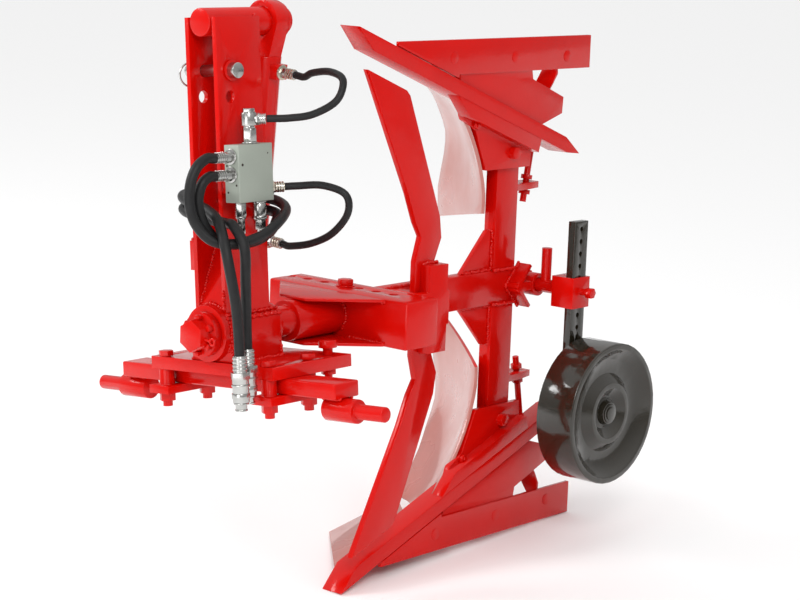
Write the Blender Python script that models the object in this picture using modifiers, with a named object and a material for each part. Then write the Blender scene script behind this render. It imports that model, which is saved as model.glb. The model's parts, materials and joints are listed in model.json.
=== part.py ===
"""Reversible single-furrow moldboard plough with a three-point headstock. Metres, +Y rear, +X left, +Z up."""

import math

import bmesh
import bpy
from mathutils import Matrix, Vector

ROLL = math.radians(4.88)  # headstock against turning frame, the tractor's lean with a wheel in the furrow
GAP = 0.0003  # between pieces that touch
SLIDE_GAP = 0.0006  # between a sliding or turning piece and its guide

# Headstock
MAST_TOP = 0.497
MAST_FRONT = 0.048
MAST_REAR = 0.146
MAST_HALF = 0.034
CHEEK = 0.008
BAR_R = 0.0225
BAR_Z = MAST_TOP - 0.008
BAR_FRONT = 0.047
BAR_REAR = 0.236
BASE_HALF = 0.137
BASE_FRONT = 0.043
BASE_REAR = 0.224
BASE_TOP = -0.046
BASE_T = 0.020
HOUSING_R = 0.045
HOUSING_FRONT = 0.035
HOUSING_REAR = 0.158
SPINDLE_R = 0.025
SPINDLE_FRONT = 0.024
NUT_R = 0.0265
PIN_Y = 0.079
PIN_Z = 0.413
PIN_R = 0.0095
SPARE_Z = 0.372
VALVE_X = (0.0545, 0.0855)
VALVE_Y = (0.036, 0.112)
VALVE_Z = (0.209, 0.299)
VX = sum(VALVE_X) / 2

# Crossbar
CROSS_HALF = 0.239
CROSS_FRONT = 0.071
CROSS_REAR = 0.127
CROSS_T = 0.025
BOSS_IN = 0.200
BOSS_OUT = 0.262
BOSS_R = 0.019
HITCH_PIN_R = 0.012
HITCH_PIN_TIP = 0.318
CLAMP_X = 0.115
CLAMP_BOLT_Y = (0.055, 0.145)

# Turnover cylinder
CYL_Y = 0.200
CYL_R = 0.027
CRANK_R = 0.075
BARREL_TOP = 0.055
BARREL_END = 0.385
ROD_R = 0.0125
EYE_R = 0.017

# Turning frame
BOX_FRONT = 0.328
BOX_SIDE = 0.080
BOX_FAR = -0.145
BOX_NEAR = 0.167
BOX_WALL = 0.006
BEAM_FAR = -0.010
BEAM_NEAR = 0.015
BEAM_HALF = 0.031
BEAM_REAR = 0.812
LEG_FRONT = 0.746
LEG_REAR = 0.808
ADJUST_X = -0.0125  # the rod that sets each body's pitch passes beside the bar point
ADJUST_LOW = (0.893, 0.325)
ADJUST_HIGH = (0.860, 0.146)

# Bodies
LAND_X = 0.045
LAND_T = 0.008
LAND_BOTTOM = 0.454
LAND_TOP = 0.394
LAND_REAR = 0.970
BAR_W = 0.045
COULTER_X = 0.056
COULTER_T = 0.012

# Wheel
ARM_Y = 0.845
ARM_R = 0.0125
CLAMP_IN = 0.093
CLAMP_OUT = 0.141
POST_IN = 0.1205
POST_T = 0.015
POST_W = 0.040
POST_TOP = 0.128
AXLE_Z = -0.212
WHEEL_R = 0.128
WHEEL_IN = 0.150
WHEEL_OUT = 0.226

BAR_SLOPE = -0.366


def bar_z(y):
    """Height below the spindle of the bar point's inner face at a station."""
    return 0.4405 + BAR_SLOPE * (y - 0.364)


BAR_DROP = 0.0275


for old in list(bpy.data.objects):
    bpy.data.objects.remove(old)
scene = bpy.context.scene
parts = bpy.data.collections.new("reversible_moldboard_plough")
scene.collection.children.link(parts)
tools = bpy.data.collections.new("cutters")
scene.collection.children.link(tools)


def material(name, color, metallic, roughness):
    mat = bpy.data.materials.new(name)
    mat.use_nodes = True
    shader = mat.node_tree.nodes["Principled BSDF"]
    shader.inputs["Base Color"].default_value = (*color, 1.0)
    shader.inputs["Metallic"].default_value = metallic
    shader.inputs["Roughness"].default_value = roughness
    return mat


RED = material("red_paint", (0.62, 0.008, 0.006), 0.0, 0.25)
BLACK = material("black_enamel", (0.012, 0.012, 0.011), 0.0, 0.2)
ZINC = material("zinc_plate", (0.62, 0.62, 0.60), 1.0, 0.3)
BLOCK = material("grey_valve_metal", (0.33, 0.35, 0.31), 0.4, 0.45)
CHROME = material("chrome_rod", (0.8, 0.8, 0.8), 1.0, 0.08)
RUBBER = material("hose_rubber", (0.02, 0.02, 0.02), 0.0, 0.6)


def empty(name, parent, at=(0, 0, 0), turn=None):
    e = bpy.data.objects.new(name, None)
    e.empty_display_size = 0.05
    scene.collection.objects.link(e)
    e.parent = parent
    m = Matrix.Translation(Vector(at))
    if turn is not None:
        m = m @ turn
    e.matrix_local = m
    return e


# It parks on the lower body: the bar point's tip, the landside's heel and the share's outer corner.
TIP = Vector((LAND_X - BAR_W / 2, 0.327, -bar_z(0.327) - BAR_DROP))
HEEL = Vector((LAND_X, LAND_REAR, -LAND_BOTTOM))
CORNER = Vector((-0.182, 0.543, -0.4625))
STANCE = (HEEL - TIP).cross(CORNER - TIP).rotation_difference(Vector((0, 0, 1))).to_matrix().to_4x4()
ROOT = empty("plough_root", None, (0, 0, 0), STANCE)
HEAD = empty("headstock_axes", ROOT, (0, 0, 0), Matrix.Rotation(-ROLL, 4, "Y"))
TURN = empty("turnover_axis", ROOT)
CROSS = empty("crossbar_slide", HEAD)
EYE_SIDE = CRANK_R * math.cos(ROLL)
EYE_DROP = BAR_Z - CRANK_R * math.sin(ROLL)
SWING = math.atan2(EYE_SIDE, EYE_DROP)
ROD_LENGTH = math.hypot(EYE_SIDE, EYE_DROP)
BARREL = empty("cylinder_axis", HEAD, (0, CYL_Y, BAR_Z), Matrix.Rotation(SWING, 4, "Y"))
ROD = empty("rod_slide", BARREL)
ARM = empty("wheel_arm_axis", TURN, (0, ARM_Y, 0))
POST = empty("post_slide", ARM)
WHEEL = empty("wheel_axis", POST, (0, 0, AXLE_Z))


def finish(obj, mat, body, helper=False, smooth=False):
    """Puts a shape in its collection under its moving frame, with its material."""
    for c in list(obj.users_collection):
        c.objects.unlink(obj)
    (tools if helper else parts).objects.link(obj)
    obj.parent = body
    if helper:
        obj.hide_render = True
        obj.display_type = "WIRE"
    else:
        obj.data.materials.clear()
        obj.data.materials.append(mat)
    if smooth:
        for p in obj.data.polygons:
            p.use_smooth = True
    return obj


def box(name, x, y, z, mat=None, body=None, bevel=0.0, helper=False):
    """A block between two limits on each axis."""
    middle = [sum(limits) / 2 for limits in (x, y, z)]
    size = [max(limits) - min(limits) for limits in (x, y, z)]
    bpy.ops.mesh.primitive_cube_add(size=1, location=middle)
    obj = bpy.context.object
    obj.name = name
    obj.data.transform(Matrix.Diagonal((*size, 1)))
    if bevel:
        mod = obj.modifiers.new("edge", "BEVEL")
        mod.width = bevel
        mod.segments = 2
    return finish(obj, mat, body, helper)


TURNS = {
    "X": Matrix.Rotation(math.pi / 2, 4, "Y"),
    "Y": Matrix.Rotation(-math.pi / 2, 4, "X"),
    "Z": Matrix.Identity(4),
}


def rod(name, axis, at, ends, radius, mat=None, body=None, sides=24, helper=False, bevel=0.0, turn=None):
    """A round bar along X, Y or Z: at gives the other two coordinates in order, ends its limits."""
    bpy.ops.mesh.primitive_cylinder_add(vertices=sides, radius=radius, depth=abs(ends[1] - ends[0]))
    obj = bpy.context.object
    obj.name = name
    mid = (ends[0] + ends[1]) / 2
    place = {"X": (mid, *at), "Y": (at[0], mid, at[1]), "Z": (*at, mid)}[axis]
    spin = Matrix.Rotation(turn, 4, "Z") if turn else Matrix.Identity(4)
    obj.data.transform(Matrix.Translation(Vector(place)) @ TURNS[axis] @ spin)
    if bevel:
        mod = obj.modifiers.new("edge", "BEVEL")
        mod.width = bevel
        mod.segments = 2
        mod.limit_method = "ANGLE"
        mod.angle_limit = math.radians(50)
    finish(obj, mat, body, helper)
    if sides > 8:
        for p in obj.data.polygons:
            p.use_smooth = len(p.vertices) == 4
    return obj


def between(name, a, b, radius, mat=None, body=None, sides=16, helper=False):
    """A round bar from point to point."""
    a = Vector(a)
    b = Vector(b)
    bpy.ops.mesh.primitive_cylinder_add(vertices=sides, radius=radius, depth=(b - a).length)
    obj = bpy.context.object
    obj.name = name
    turn = (b - a).to_track_quat("Z", "Y").to_matrix().to_4x4()
    obj.data.transform(Matrix.Translation((a + b) / 2) @ turn)
    finish(obj, mat, body, helper)
    for p in obj.data.polygons:
        p.use_smooth = len(p.vertices) == 4
    return obj


PLANES = {
    "X": Matrix(((0, 0, 1, 0), (1, 0, 0, 0), (0, 1, 0, 0), (0, 0, 0, 1))),
    "Y": Matrix(((1, 0, 0, 0), (0, 0, -1, 0), (0, 1, 0, 0), (0, 0, 0, 1))),
    "Z": Matrix.Identity(4),
}


def plate(name, axis, points, limits, mat=None, body=None, bevel=0.0, helper=False):
    """A flat outline with thickness across X (points are Y,Z), Y (X,Z) or Z (X,Y)."""
    curve = bpy.data.curves.new(name, "CURVE")
    curve.dimensions = "2D"
    curve.fill_mode = "BOTH"
    curve.extrude = abs(limits[1] - limits[0]) / 2
    line = curve.splines.new("POLY")
    line.points.add(len(points) - 1)
    for point, (u, v) in zip(line.points, points):
        point.co = (u, v, 0, 1)
    line.use_cyclic_u = True
    guide = bpy.data.objects.new(name + "_outline", curve)
    scene.collection.objects.link(guide)
    mesh = bpy.data.meshes.new_from_object(guide)
    bpy.data.objects.remove(guide)
    shape = bpy.data.objects.new(name, mesh)
    scene.collection.objects.link(shape)
    middle = (limits[0] + limits[1]) / 2
    offset = {"X": (middle, 0, 0), "Y": (0, middle, 0), "Z": (0, 0, middle)}[axis]
    mesh.transform(Matrix.Translation(Vector(offset)) @ PLANES[axis])
    tidy(mesh)
    if bevel:
        mod = shape.modifiers.new("edge", "BEVEL")
        mod.width = bevel
        mod.segments = 2
        mod.limit_method = "ANGLE"
    return finish(shape, mat, body, helper)


def tidy(mesh):
    work = bmesh.new()
    work.from_mesh(mesh)
    bmesh.ops.remove_doubles(work, verts=work.verts, dist=0.00001)
    bmesh.ops.recalc_face_normals(work, faces=work.faces)
    work.to_mesh(mesh)
    work.free()


def solid(name, verts, faces, mat=None, body=None, helper=False, smooth=False):
    mesh = bpy.data.meshes.new(name)
    mesh.from_pydata([Vector(v) for v in verts], [], faces)
    tidy(mesh)
    obj = bpy.data.objects.new(name, mesh)
    scene.collection.objects.link(obj)
    return finish(obj, mat, body, helper, smooth)


def sheet(name, grid, front, back, mat=None, body=None, helper=False, smooth=False):
    """A sheet on a grid of points, from one offset to the other along the surface's rearward normal."""
    rows = len(grid)
    width = len(grid[0])
    layers = [[], []]
    for r in range(rows):
        for c in range(width):
            up = grid[min(r + 1, rows - 1)][c] - grid[max(r - 1, 0)][c]
            along = grid[r][min(c + 1, width - 1)] - grid[r][max(c - 1, 0)]
            n = up.cross(along).normalized()
            n = n if n.y > 0 else -n
            layers[0].append(grid[r][c] + n * front)
            layers[1].append(grid[r][c] + n * (back[r] if isinstance(back, list) else back))
    total = rows * width
    faces = []
    for r in range(rows - 1):
        for c in range(width - 1):
            q = (r * width + c, r * width + c + 1, (r + 1) * width + c + 1, (r + 1) * width + c)
            faces.append(q)
            faces.append(tuple(total + i for i in reversed(q)))
    rim = list(range(width))
    rim += [r * width + width - 1 for r in range(1, rows)]
    rim += [(rows - 1) * width + c for c in range(width - 2, -1, -1)]
    rim += [r * width for r in range(rows - 2, 0, -1)]
    for a, b in zip(rim, rim[1:] + rim[:1]):
        faces.append((b, a, total + a, total + b))
    return solid(name, layers[0] + layers[1], faces, mat, body, helper, smooth)


def strip(name, line, width, thick, mat, body):
    """A flat strip on edge along a line of points, its width upright."""
    verts = []
    for i, p in enumerate(line):
        along = (line[min(i + 1, len(line) - 1)] - line[max(i - 1, 0)]).normalized()
        flat = Vector((along.x, along.y, 0)).normalized()
        out = Vector((-flat.y, flat.x, 0))
        up = along.cross(out).normalized()
        for a, b in ((-1, -1), (1, -1), (1, 1), (-1, 1)):
            verts.append(p + out * (a * thick / 2) + up * (b * width / 2))
    faces = [(3, 2, 1, 0)]
    for i in range(len(line) - 1):
        for k in range(4):
            m = (k + 1) % 4
            faces.append((4 * i + k, 4 * i + m, 4 * i + 4 + m, 4 * i + 4 + k))
    last = 4 * (len(line) - 1)
    faces.append((last, last + 1, last + 2, last + 3))
    return solid(name, verts, faces, mat, body)


def join(obj, *others):
    for other in others:
        mod = obj.modifiers.new("join_" + other.name[:40], "BOOLEAN")
        mod.operation = "UNION"
        mod.solver = "EXACT"
        mod.object = other
    return obj


def cut(obj, *others):
    for other in others:
        mod = obj.modifiers.new("cut_" + other.name[:40], "BOOLEAN")
        mod.operation = "DIFFERENCE"
        mod.solver = "EXACT"
        mod.object = other
    return obj


def hose(name, points, radius, body, mat=RUBBER, steps=4, sides=2):
    """A tube through the listed points: a smooth curve sampled evenly."""
    points = [Vector(p) for p in points]
    lead = 0.003
    first = points[0] + (points[1] - points[0]).normalized() * lead
    last = points[-1] + (points[-2] - points[-1]).normalized() * lead
    line = [points[0], *smooth_path([first, *points[1:-1], last], steps), points[-1]]
    curve = bpy.data.curves.new(name, "CURVE")
    curve.dimensions = "3D"
    curve.bevel_depth = radius
    curve.bevel_resolution = sides
    curve.use_fill_caps = True
    spline = curve.splines.new("POLY")
    spline.points.add(len(line) - 1)
    for point, co in zip(spline.points, line):
        point.co = (*co, 1)
    obj = bpy.data.objects.new(name, curve)
    scene.collection.objects.link(obj)
    return finish(obj, mat, body)


def smooth_path(points, steps):
    """Points on a Catmull-Rom curve through the given ones."""
    ends = [points[0] * 2 - points[1], *points, points[-1] * 2 - points[-2]]
    line = []
    for a, b, c, d in zip(ends, ends[1:], ends[2:], ends[3:]):
        for i in range(steps):
            t = i / steps
            line.append(
                0.5
                * (
                    2 * b
                    + (c - a) * t
                    + (2 * a - 5 * b + 4 * c - d) * t * t
                    + (3 * b - a - 3 * c + d) * t**3
                )
            )
    line.append(points[-1])
    return line




# Headstock, welded: base plate, spindle housing, two cheek plates, closing plate and top bar.
base_bottom = BASE_TOP - BASE_T
holes = []
for side in (-1, 1):
    for n, y in enumerate(CLAMP_BOLT_Y):
        holes.append(
            rod(
                f"bolt_hole_{side}_{n}",
                "Z",
                (side * CLAMP_X, y),
                (-0.1, 0.0),
                0.0085,
                body=HEAD,
                helper=True,
                sides=16,
            )
        )
base = box(
    "base_plate", (-BASE_HALF, BASE_HALF), (BASE_FRONT, BASE_REAR), (base_bottom, BASE_TOP), RED, HEAD
)
cut(base, *holes)

housing = rod("spindle_housing", "Y", (0, 0), (HOUSING_FRONT, HOUSING_REAR), HOUSING_R, RED, HEAD, sides=40)
saddle = box(
    "housing_saddle",
    (-HOUSING_R, HOUSING_R),
    (MAST_FRONT, HOUSING_REAR),
    (BASE_TOP + GAP, 0.022),
    body=HEAD,
    helper=True,
)
spindle_bore = rod(
    "spindle_bore", "Y", (0, 0), (0.0, 0.2), SPINDLE_R + SLIDE_GAP, body=HEAD, helper=True, sides=32
)
join(housing, saddle)
cut(housing, spindle_bore)

bar_notch = rod("bar_notch", "Y", (0, BAR_Z), (0.0, 0.3), BAR_R + GAP, body=HEAD, helper=True, sides=32)
housing_notch = rod(
    "housing_notch", "Y", (0, 0), (0.0, 0.3), HOUSING_R + GAP, body=HEAD, helper=True, sides=40
)
pin_bore = rod("pin_bore", "X", (PIN_Y, PIN_Z), (-0.1, 0.1), PIN_R + GAP, body=HEAD, helper=True)
spare_bore = rod(
    "spare_bore", "X", (PIN_Y - 0.004, SPARE_Z), (-0.1, 0.1), PIN_R + GAP, body=HEAD, helper=True
)
for side, word in ((1, "left"), (-1, "right")):
    inner = side * (MAST_HALF - CHEEK)
    outer = side * MAST_HALF
    cheek = box(
        f"{word}_cheek_plate",
        (inner, outer),
        (MAST_FRONT, MAST_REAR),
        (0.0225, MAST_TOP),
        RED,
        HEAD,
    )
    if side == 1:
        closing = plate(
            "closing_plate",
            "X",
            [(0.091, 0.138), (0.0485, 0.040), (0.0565, 0.040), (0.098, 0.135)],
            (-MAST_HALF + CHEEK + GAP, MAST_HALF - CHEEK / 2),
            body=HEAD,
            helper=True,
        )
        valve_bracket = box(
            "valve_bracket",
            (MAST_HALF - CHEEK / 2, VALVE_X[0] - GAP),
            (0.050, 0.098),
            (0.222, 0.286),
            body=HEAD,
            helper=True,
        )
        join(cheek, closing, valve_bracket)
    else:
        stop_block = box(
            "stop_block",
            (-MAST_HALF - 0.010, -MAST_HALF + 0.004),
            (0.050, 0.085),
            (0.098, 0.145),
            body=HEAD,
            helper=True,
        )
        join(cheek, stop_block)
    cut(cheek, bar_notch, housing_notch, pin_bore, spare_bore)
top_bar = rod("top_bar", "Y", (0, BAR_Z), (BAR_FRONT, BAR_REAR), BAR_R, RED, HEAD, sides=32, bevel=0.002)
washer_ring = rod(
    "top_bar_washer", "Y", (0, BAR_Z), (0.2165, 0.2215), 0.031, body=HEAD, helper=True, sides=32
)
join(top_bar, washer_ring)

link_pin = rod("top_link_pin", "X", (PIN_Y, PIN_Z), (-0.062, 0.040), PIN_R, ZINC, HEAD, bevel=0.001)
pin_head = rod("pin_head", "X", (PIN_Y, PIN_Z), (0.0345, 0.050), 0.0125, body=HEAD, helper=True)
join(link_pin, pin_head)

for side, word in ((1, "left"), (-1, "right")):
    x = side * CLAMP_X
    strap = box(
        f"{word}_crossbar_clamp",
        (x - 0.022, x + 0.022),
        (0.036, 0.164),
        (base_bottom - CROSS_T - 0.0145, base_bottom - CROSS_T - 2 * SLIDE_GAP),
        RED,
        HEAD,
    )
    added = []
    for n, y in enumerate(CLAMP_BOLT_Y):
        name = f"{word}_clamp_bolt_{n}"
        added += [
            rod(
                name + "_shank",
                "Z",
                (x, y),
                (-0.128, BASE_TOP + 0.004),
                0.008,
                body=HEAD,
                helper=True,
                sides=16,
            ),
            rod(
                name + "_sleeve",
                "Z",
                (x, y),
                (base_bottom - CROSS_T - 0.005, base_bottom - GAP),
                0.0125,
                body=HEAD,
                helper=True,
                sides=20,
            ),
            rod(
                name + "_head",
                "Z",
                (x, y),
                (BASE_TOP + GAP, BASE_TOP + 0.009),
                0.0125,
                body=HEAD,
                helper=True,
                sides=6,
            ),
            rod(name + "_nut", "Z", (x, y), (-0.119, -0.1045), 0.0135, body=HEAD, helper=True, sides=6),
        ]
    join(strap, *added)

for side, word in ((1, "left"), (-1, "right")):
    x = side * 0.112
    stop = rod(f"{word}_stop_bolt", "Z", (x, 0.196), (BASE_TOP + GAP, -0.030), 0.008, ZINC, HEAD, sides=16)
    stop_head = rod(
        f"{word}_stop_head", "Z", (x, 0.196), (-0.034, -0.022), 0.015, body=HEAD, helper=True, sides=20
    )
    join(stop, stop_head)
    stop.data.materials.clear()
    stop.data.materials.append(RED)

# Crossbar with its hitch pins
cross_top = base_bottom - SLIDE_GAP
box(
    "crossbar",
    (-CROSS_HALF, CROSS_HALF),
    (CROSS_FRONT, CROSS_REAR),
    (cross_top - CROSS_T, cross_top),
    RED,
    CROSS,
    bevel=0.002,
)
boss_z = cross_top - CROSS_T - BOSS_R - GAP
cross_y = (CROSS_FRONT + CROSS_REAR) / 2
for side, word in ((1, "left"), (-1, "right")):
    pin = rod(
        f"{word}_hitch_pin",
        "X",
        (cross_y, boss_z),
        (side * (BOSS_OUT - 0.01), side * HITCH_PIN_TIP),
        HITCH_PIN_R,
        RED,
        CROSS,
        bevel=0.002,
    )
    boss = rod(
        f"{word}_hitch_boss", "X", (cross_y, boss_z), (side * BOSS_IN, side * BOSS_OUT), BOSS_R, body=CROSS, helper=True
    )
    join(pin, boss)

# Turnover valve block with its unions
box("valve_block", VALVE_X, VALVE_Y, VALVE_Z, BLOCK, HEAD, bevel=0.001)
stub = rod("valve_top_elbow", "Z", (VX, 0.077), (VALVE_Z[1] + GAP, 0.345), 0.0085, ZINC, HEAD, sides=6)
elbow = between("elbow_arm", (VX, 0.077, 0.337), (VX + 0.020, 0.095, 0.337), 0.0075, body=HEAD, helper=True)
join(stub, elbow)
rear_union = rod(
    "valve_rear_union", "Y", (VX, 0.228), (VALVE_Y[1] + GAP, 0.128), 0.009, ZINC, HEAD, sides=6
)
rear_arm = between(
    "rear_arm", (VX, 0.126, 0.228), (VX + 0.014, 0.137, 0.228), 0.0075, body=HEAD, helper=True
)
join(rear_union, rear_arm)
for word, z in (("upper", 0.280), ("lower", 0.252)):
    union = rod(f"{word}_supply_union", "Y", (VX, z), (0.020, VALVE_Y[0] - GAP), 0.009, ZINC, HEAD, sides=6)
    collar = rod(
        f"{word}_supply_collar", "Y", (VX, z), (0.000, 0.024), 0.0075, body=HEAD, helper=True, sides=16
    )
    join(union, collar)
for word, y, low, r in (("front", 0.052, 0.158, 0.0085), ("rear", 0.094, 0.160, 0.0095)):
    cap = rod(f"{word}_valve_cartridge", "Z", (VX, y), (0.183, VALVE_Z[0] - GAP), r, ZINC, HEAD, sides=6)
    tip = rod(
        f"{word}_cartridge_tip", "Z", (VX, y), (low, 0.187), r - 0.0035, body=HEAD, helper=True, sides=16
    )
    join(cap, tip)

# Turnover cylinder, hanging from the top bar; its own axes run down the barrel from the pivot.
barrel = rod(
    "cylinder_barrel", "Z", (0, 0), (-BARREL_END, -BARREL_TOP), CYL_R, RED, BARREL, sides=32, bevel=0.002
)
eye_disc = rod("barrel_eye", "Y", (0, 0), (-0.014, 0.014), 0.034, body=BARREL, helper=True, sides=32)
eye_neck = plate(
    "barrel_neck",
    "Y",
    [(-0.032, -0.012), (0.032, -0.012), (0.021, -0.062), (-0.021, -0.062)],
    (-0.014, 0.014),
    body=BARREL,
    helper=True,
)
port_up = box("upper_port", (0.0, 0.040), (-0.012, 0.012), (-0.090, -0.066), body=BARREL, helper=True)
port_low = box("lower_port", (0.0, 0.040), (-0.012, 0.012), (-0.366, -0.342), body=BARREL, helper=True)
eye_bore = rod(
    "barrel_eye_bore", "Y", (0, 0), (-0.05, 0.05), BAR_R + SLIDE_GAP, body=BARREL, helper=True, sides=32
)
rod_bore = rod("barrel_bore", "Z", (0, 0), (-0.42, -0.10), ROD_R + SLIDE_GAP, body=BARREL, helper=True)
join(barrel, eye_disc, eye_neck, port_up, port_low)
cut(barrel, eye_bore, rod_bore)
for word, z in (("upper", -0.078), ("lower", -0.354)):
    port = rod(f"{word}_port_union", "X", (0, z), (0.040 + GAP, 0.052), 0.009, ZINC, BARREL, sides=6)
    ferrule = rod(
        f"{word}_port_ferrule", "X", (0, z), (0.048, 0.070), 0.0075, body=BARREL, helper=True, sides=16
    )
    join(port, ferrule)

piston = rod("cylinder_rod", "Z", (0, 0), (-ROD_LENGTH + 0.01, -0.32), ROD_R, CHROME, ROD, sides=24)
rod_eye = rod("rod_eye", "Y", (0, -ROD_LENGTH), (-0.010, 0.012), EYE_R, body=ROD, helper=True)
crank_pin = rod("crank_pin", "Y", (0, -ROD_LENGTH), (-0.0235, 0.018), 0.010, body=ROD, helper=True)
join(piston, rod_eye, crank_pin)

# Turning frame: spindle, nut, crank, gusset plates and the transverse box beam.
spindle = rod("spindle", "Y", (0, 0), (SPINDLE_FRONT, 0.30), SPINDLE_R, RED, TURN, sides=32)
spindle_tube = rod(
    "spindle_tube", "Y", (0, 0), (0.217, BOX_FRONT - GAP), 0.034, body=TURN, helper=True, sides=32
)
join(spindle, spindle_tube)
nut = rod("spindle_nut", "Y", (0, 0), (0.0, HOUSING_FRONT - SLIDE_GAP), NUT_R, RED, TURN, sides=6, bevel=0.001)
nut_bore = rod("nut_bore", "Y", (0, 0), (SPINDLE_FRONT - GAP, 0.05), SPINDLE_R + GAP, body=TURN, helper=True, sides=32)
nut_collar = rod(
    "nut_collar", "Y", (0, 0), (0.022, HOUSING_FRONT - SLIDE_GAP), 0.036, body=TURN, helper=True, sides=32
)
join(nut, nut_collar)
cut(nut, nut_bore)
crank_x = -CRANK_R
crank_z = 0.0
crank = rod("crank_arm", "Y", (0, 0), (0.164, 0.175), 0.036, RED, TURN, sides=32)
crank_end = rod("crank_end", "Y", (crank_x, crank_z), (0.164, 0.175), 0.018, body=TURN, helper=True)
out = Vector((crank_x, crank_z)).normalized()
across = Vector((-out.y, out.x))
crank_web = plate(
    "crank_web",
    "Y",
    [
        tuple(across * 0.03),
        tuple(across * -0.03),
        tuple(out * CRANK_R - across * 0.0175),
        tuple(out * CRANK_R + across * 0.0175),
    ],
    (0.164, 0.175),
    body=TURN,
    helper=True,
)
crank_bore = rod("crank_bore", "Y", (0, 0), (0.1, 0.2), SPINDLE_R + GAP, body=TURN, helper=True, sides=32)
join(crank, crank_end, crank_web)
cut(crank, crank_bore)

half = BOX_SIDE / 2
for side, word in ((1, "upper"), (-1, "lower")):
    z = side * 0.0385
    plate(
        f"{word}_gusset_plate",
        "Z",
        [(-0.028, 0.232), (0.028, 0.232), (0.120, 0.3277), (-0.120, 0.3277)],
        (side * (0.034 + GAP), side * 0.0395),
        RED,
        TURN,
    )
beam_box = box(
    "box_beam",
    (BOX_FAR, BOX_NEAR),
    (BOX_FRONT, BOX_FRONT + BOX_SIDE),
    (-half, half),
    RED,
    TURN,
    bevel=0.004,
)
hollow = box(
    "box_hollow",
    (BOX_FAR - 0.01, BOX_NEAR - BOX_WALL),
    (BOX_FRONT + BOX_WALL, BOX_FRONT + BOX_SIDE - BOX_WALL),
    (-half + BOX_WALL, half - BOX_WALL),
    body=TURN,
    helper=True,
)
cut(beam_box, hollow)
HOLE_X = [-0.135 + 0.039 * n for n in range(7)]
for n, x in enumerate(HOLE_X):
    if n != 3:
        cut(
            beam_box,
            rod(
                f"setting_hole_{n}",
                "Z",
                (x, BOX_FRONT + 0.045),
                (-0.1, 0.1),
                0.0085,
                body=TURN,
                helper=True,
                sides=16,
            ),
        )

beam_front = BOX_FRONT + BOX_SIDE + GAP
beam = box(
    "plough_beam",
    (BEAM_FAR, BEAM_NEAR),
    (beam_front, BEAM_REAR),
    (-BEAM_HALF, BEAM_HALF),
    RED,
    TURN,
    bevel=0.002,
)
front_gusset = plate(
    "beam_gusset",
    "Z",
    [(BEAM_FAR + 0.002, beam_front), (-0.110, beam_front), (BEAM_FAR + 0.002, 0.520)],
    (-0.006, 0.006),
    body=TURN,
    helper=True,
)
join(beam, front_gusset)

for side, word in ((1, "upper"), (-1, "lower")):
    leg = plate(
        f"{word}_leg",
        "X",
        [
            (LEG_FRONT, side * (BEAM_HALF + GAP)),
            (LEG_REAR, side * (BEAM_HALF + GAP)),
            (LEG_REAR, side * (bar_z(LEG_REAR) - GAP)),
            (LEG_FRONT, side * (bar_z(LEG_FRONT) - GAP)),
        ],
        (BEAM_FAR, BEAM_NEAR),
        RED,
        TURN,
    )
    gusset = plate(
        f"{word}_leg_gusset",
        "X",
        [
            (0.662, side * (BEAM_HALF + GAP)),
            (0.750, side * (BEAM_HALF + GAP)),
            (0.750, side * 0.105),
            (0.733, side * 0.105),
        ],
        (-0.002, 0.007),
        body=TURN,
        helper=True,
    )
    lug = plate(
        f"{word}_rod_lug",
        "Z",
        [(-0.008, 0.80), (0.013, 0.80), (0.010, 0.850), (0.003, 0.886), (-0.027, 0.886), (-0.029, 0.850)],
        (side * 0.172, side * 0.184),
        body=TURN,
        helper=True,
    )
    lug_bore = between(
        f"{word}_lug_bore",
        (ADJUST_X, ADJUST_HIGH[0], side * ADJUST_HIGH[1]),
        (ADJUST_X, ADJUST_LOW[0], side * ADJUST_LOW[1]),
        0.006 + SLIDE_GAP,
        body=TURN,
        helper=True,
    )
    join(leg, gusset, lug)
    cut(leg, lug_bore)

# Coulters and their bracket
stem_x = (COULTER_X, COULTER_X + COULTER_T)
bracket = box(
    "coulter_bracket", (BEAM_NEAR + GAP, 0.090), (0.452, 0.532), (-0.030, 0.030), RED, TURN, bevel=0.002
)
for side, word in ((1, "upper"), (-1, "lower")):
    near_block = box(
        f"{word}_coulter_clamp",
        (stem_x[1] + SLIDE_GAP, 0.090),
        (0.477, 0.525),
        (side * 0.020, side * 0.076),
        body=TURN,
        helper=True,
    )
    slot = box(
        f"{word}_coulter_slot",
        (stem_x[0] - SLIDE_GAP, stem_x[1] + SLIDE_GAP),
        (0.4635 - SLIDE_GAP, 0.5125 + SLIDE_GAP),
        (side * -0.002, side * 0.1),
        body=TURN,
        helper=True,
    )
    join(bracket, near_block)
    cut(bracket, slot)
    plate(
        f"{word}_coulter",
        "X",
        [
            (0.4635, side * 0.003),
            (0.5125, side * 0.003),
            (0.5125, side * 0.078),
            (0.530, side * 0.118),
            (0.524, side * 0.156),
            (0.434, side * 0.366),
            (0.425, side * 0.375),
            (0.325, side * 0.413),
            (0.438, side * 0.200),
            (0.460, side * 0.150),
            (0.476, side * 0.124),
            (0.4635, side * 0.082),
        ],
        stem_x,
        RED,
        TURN,
    )

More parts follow.
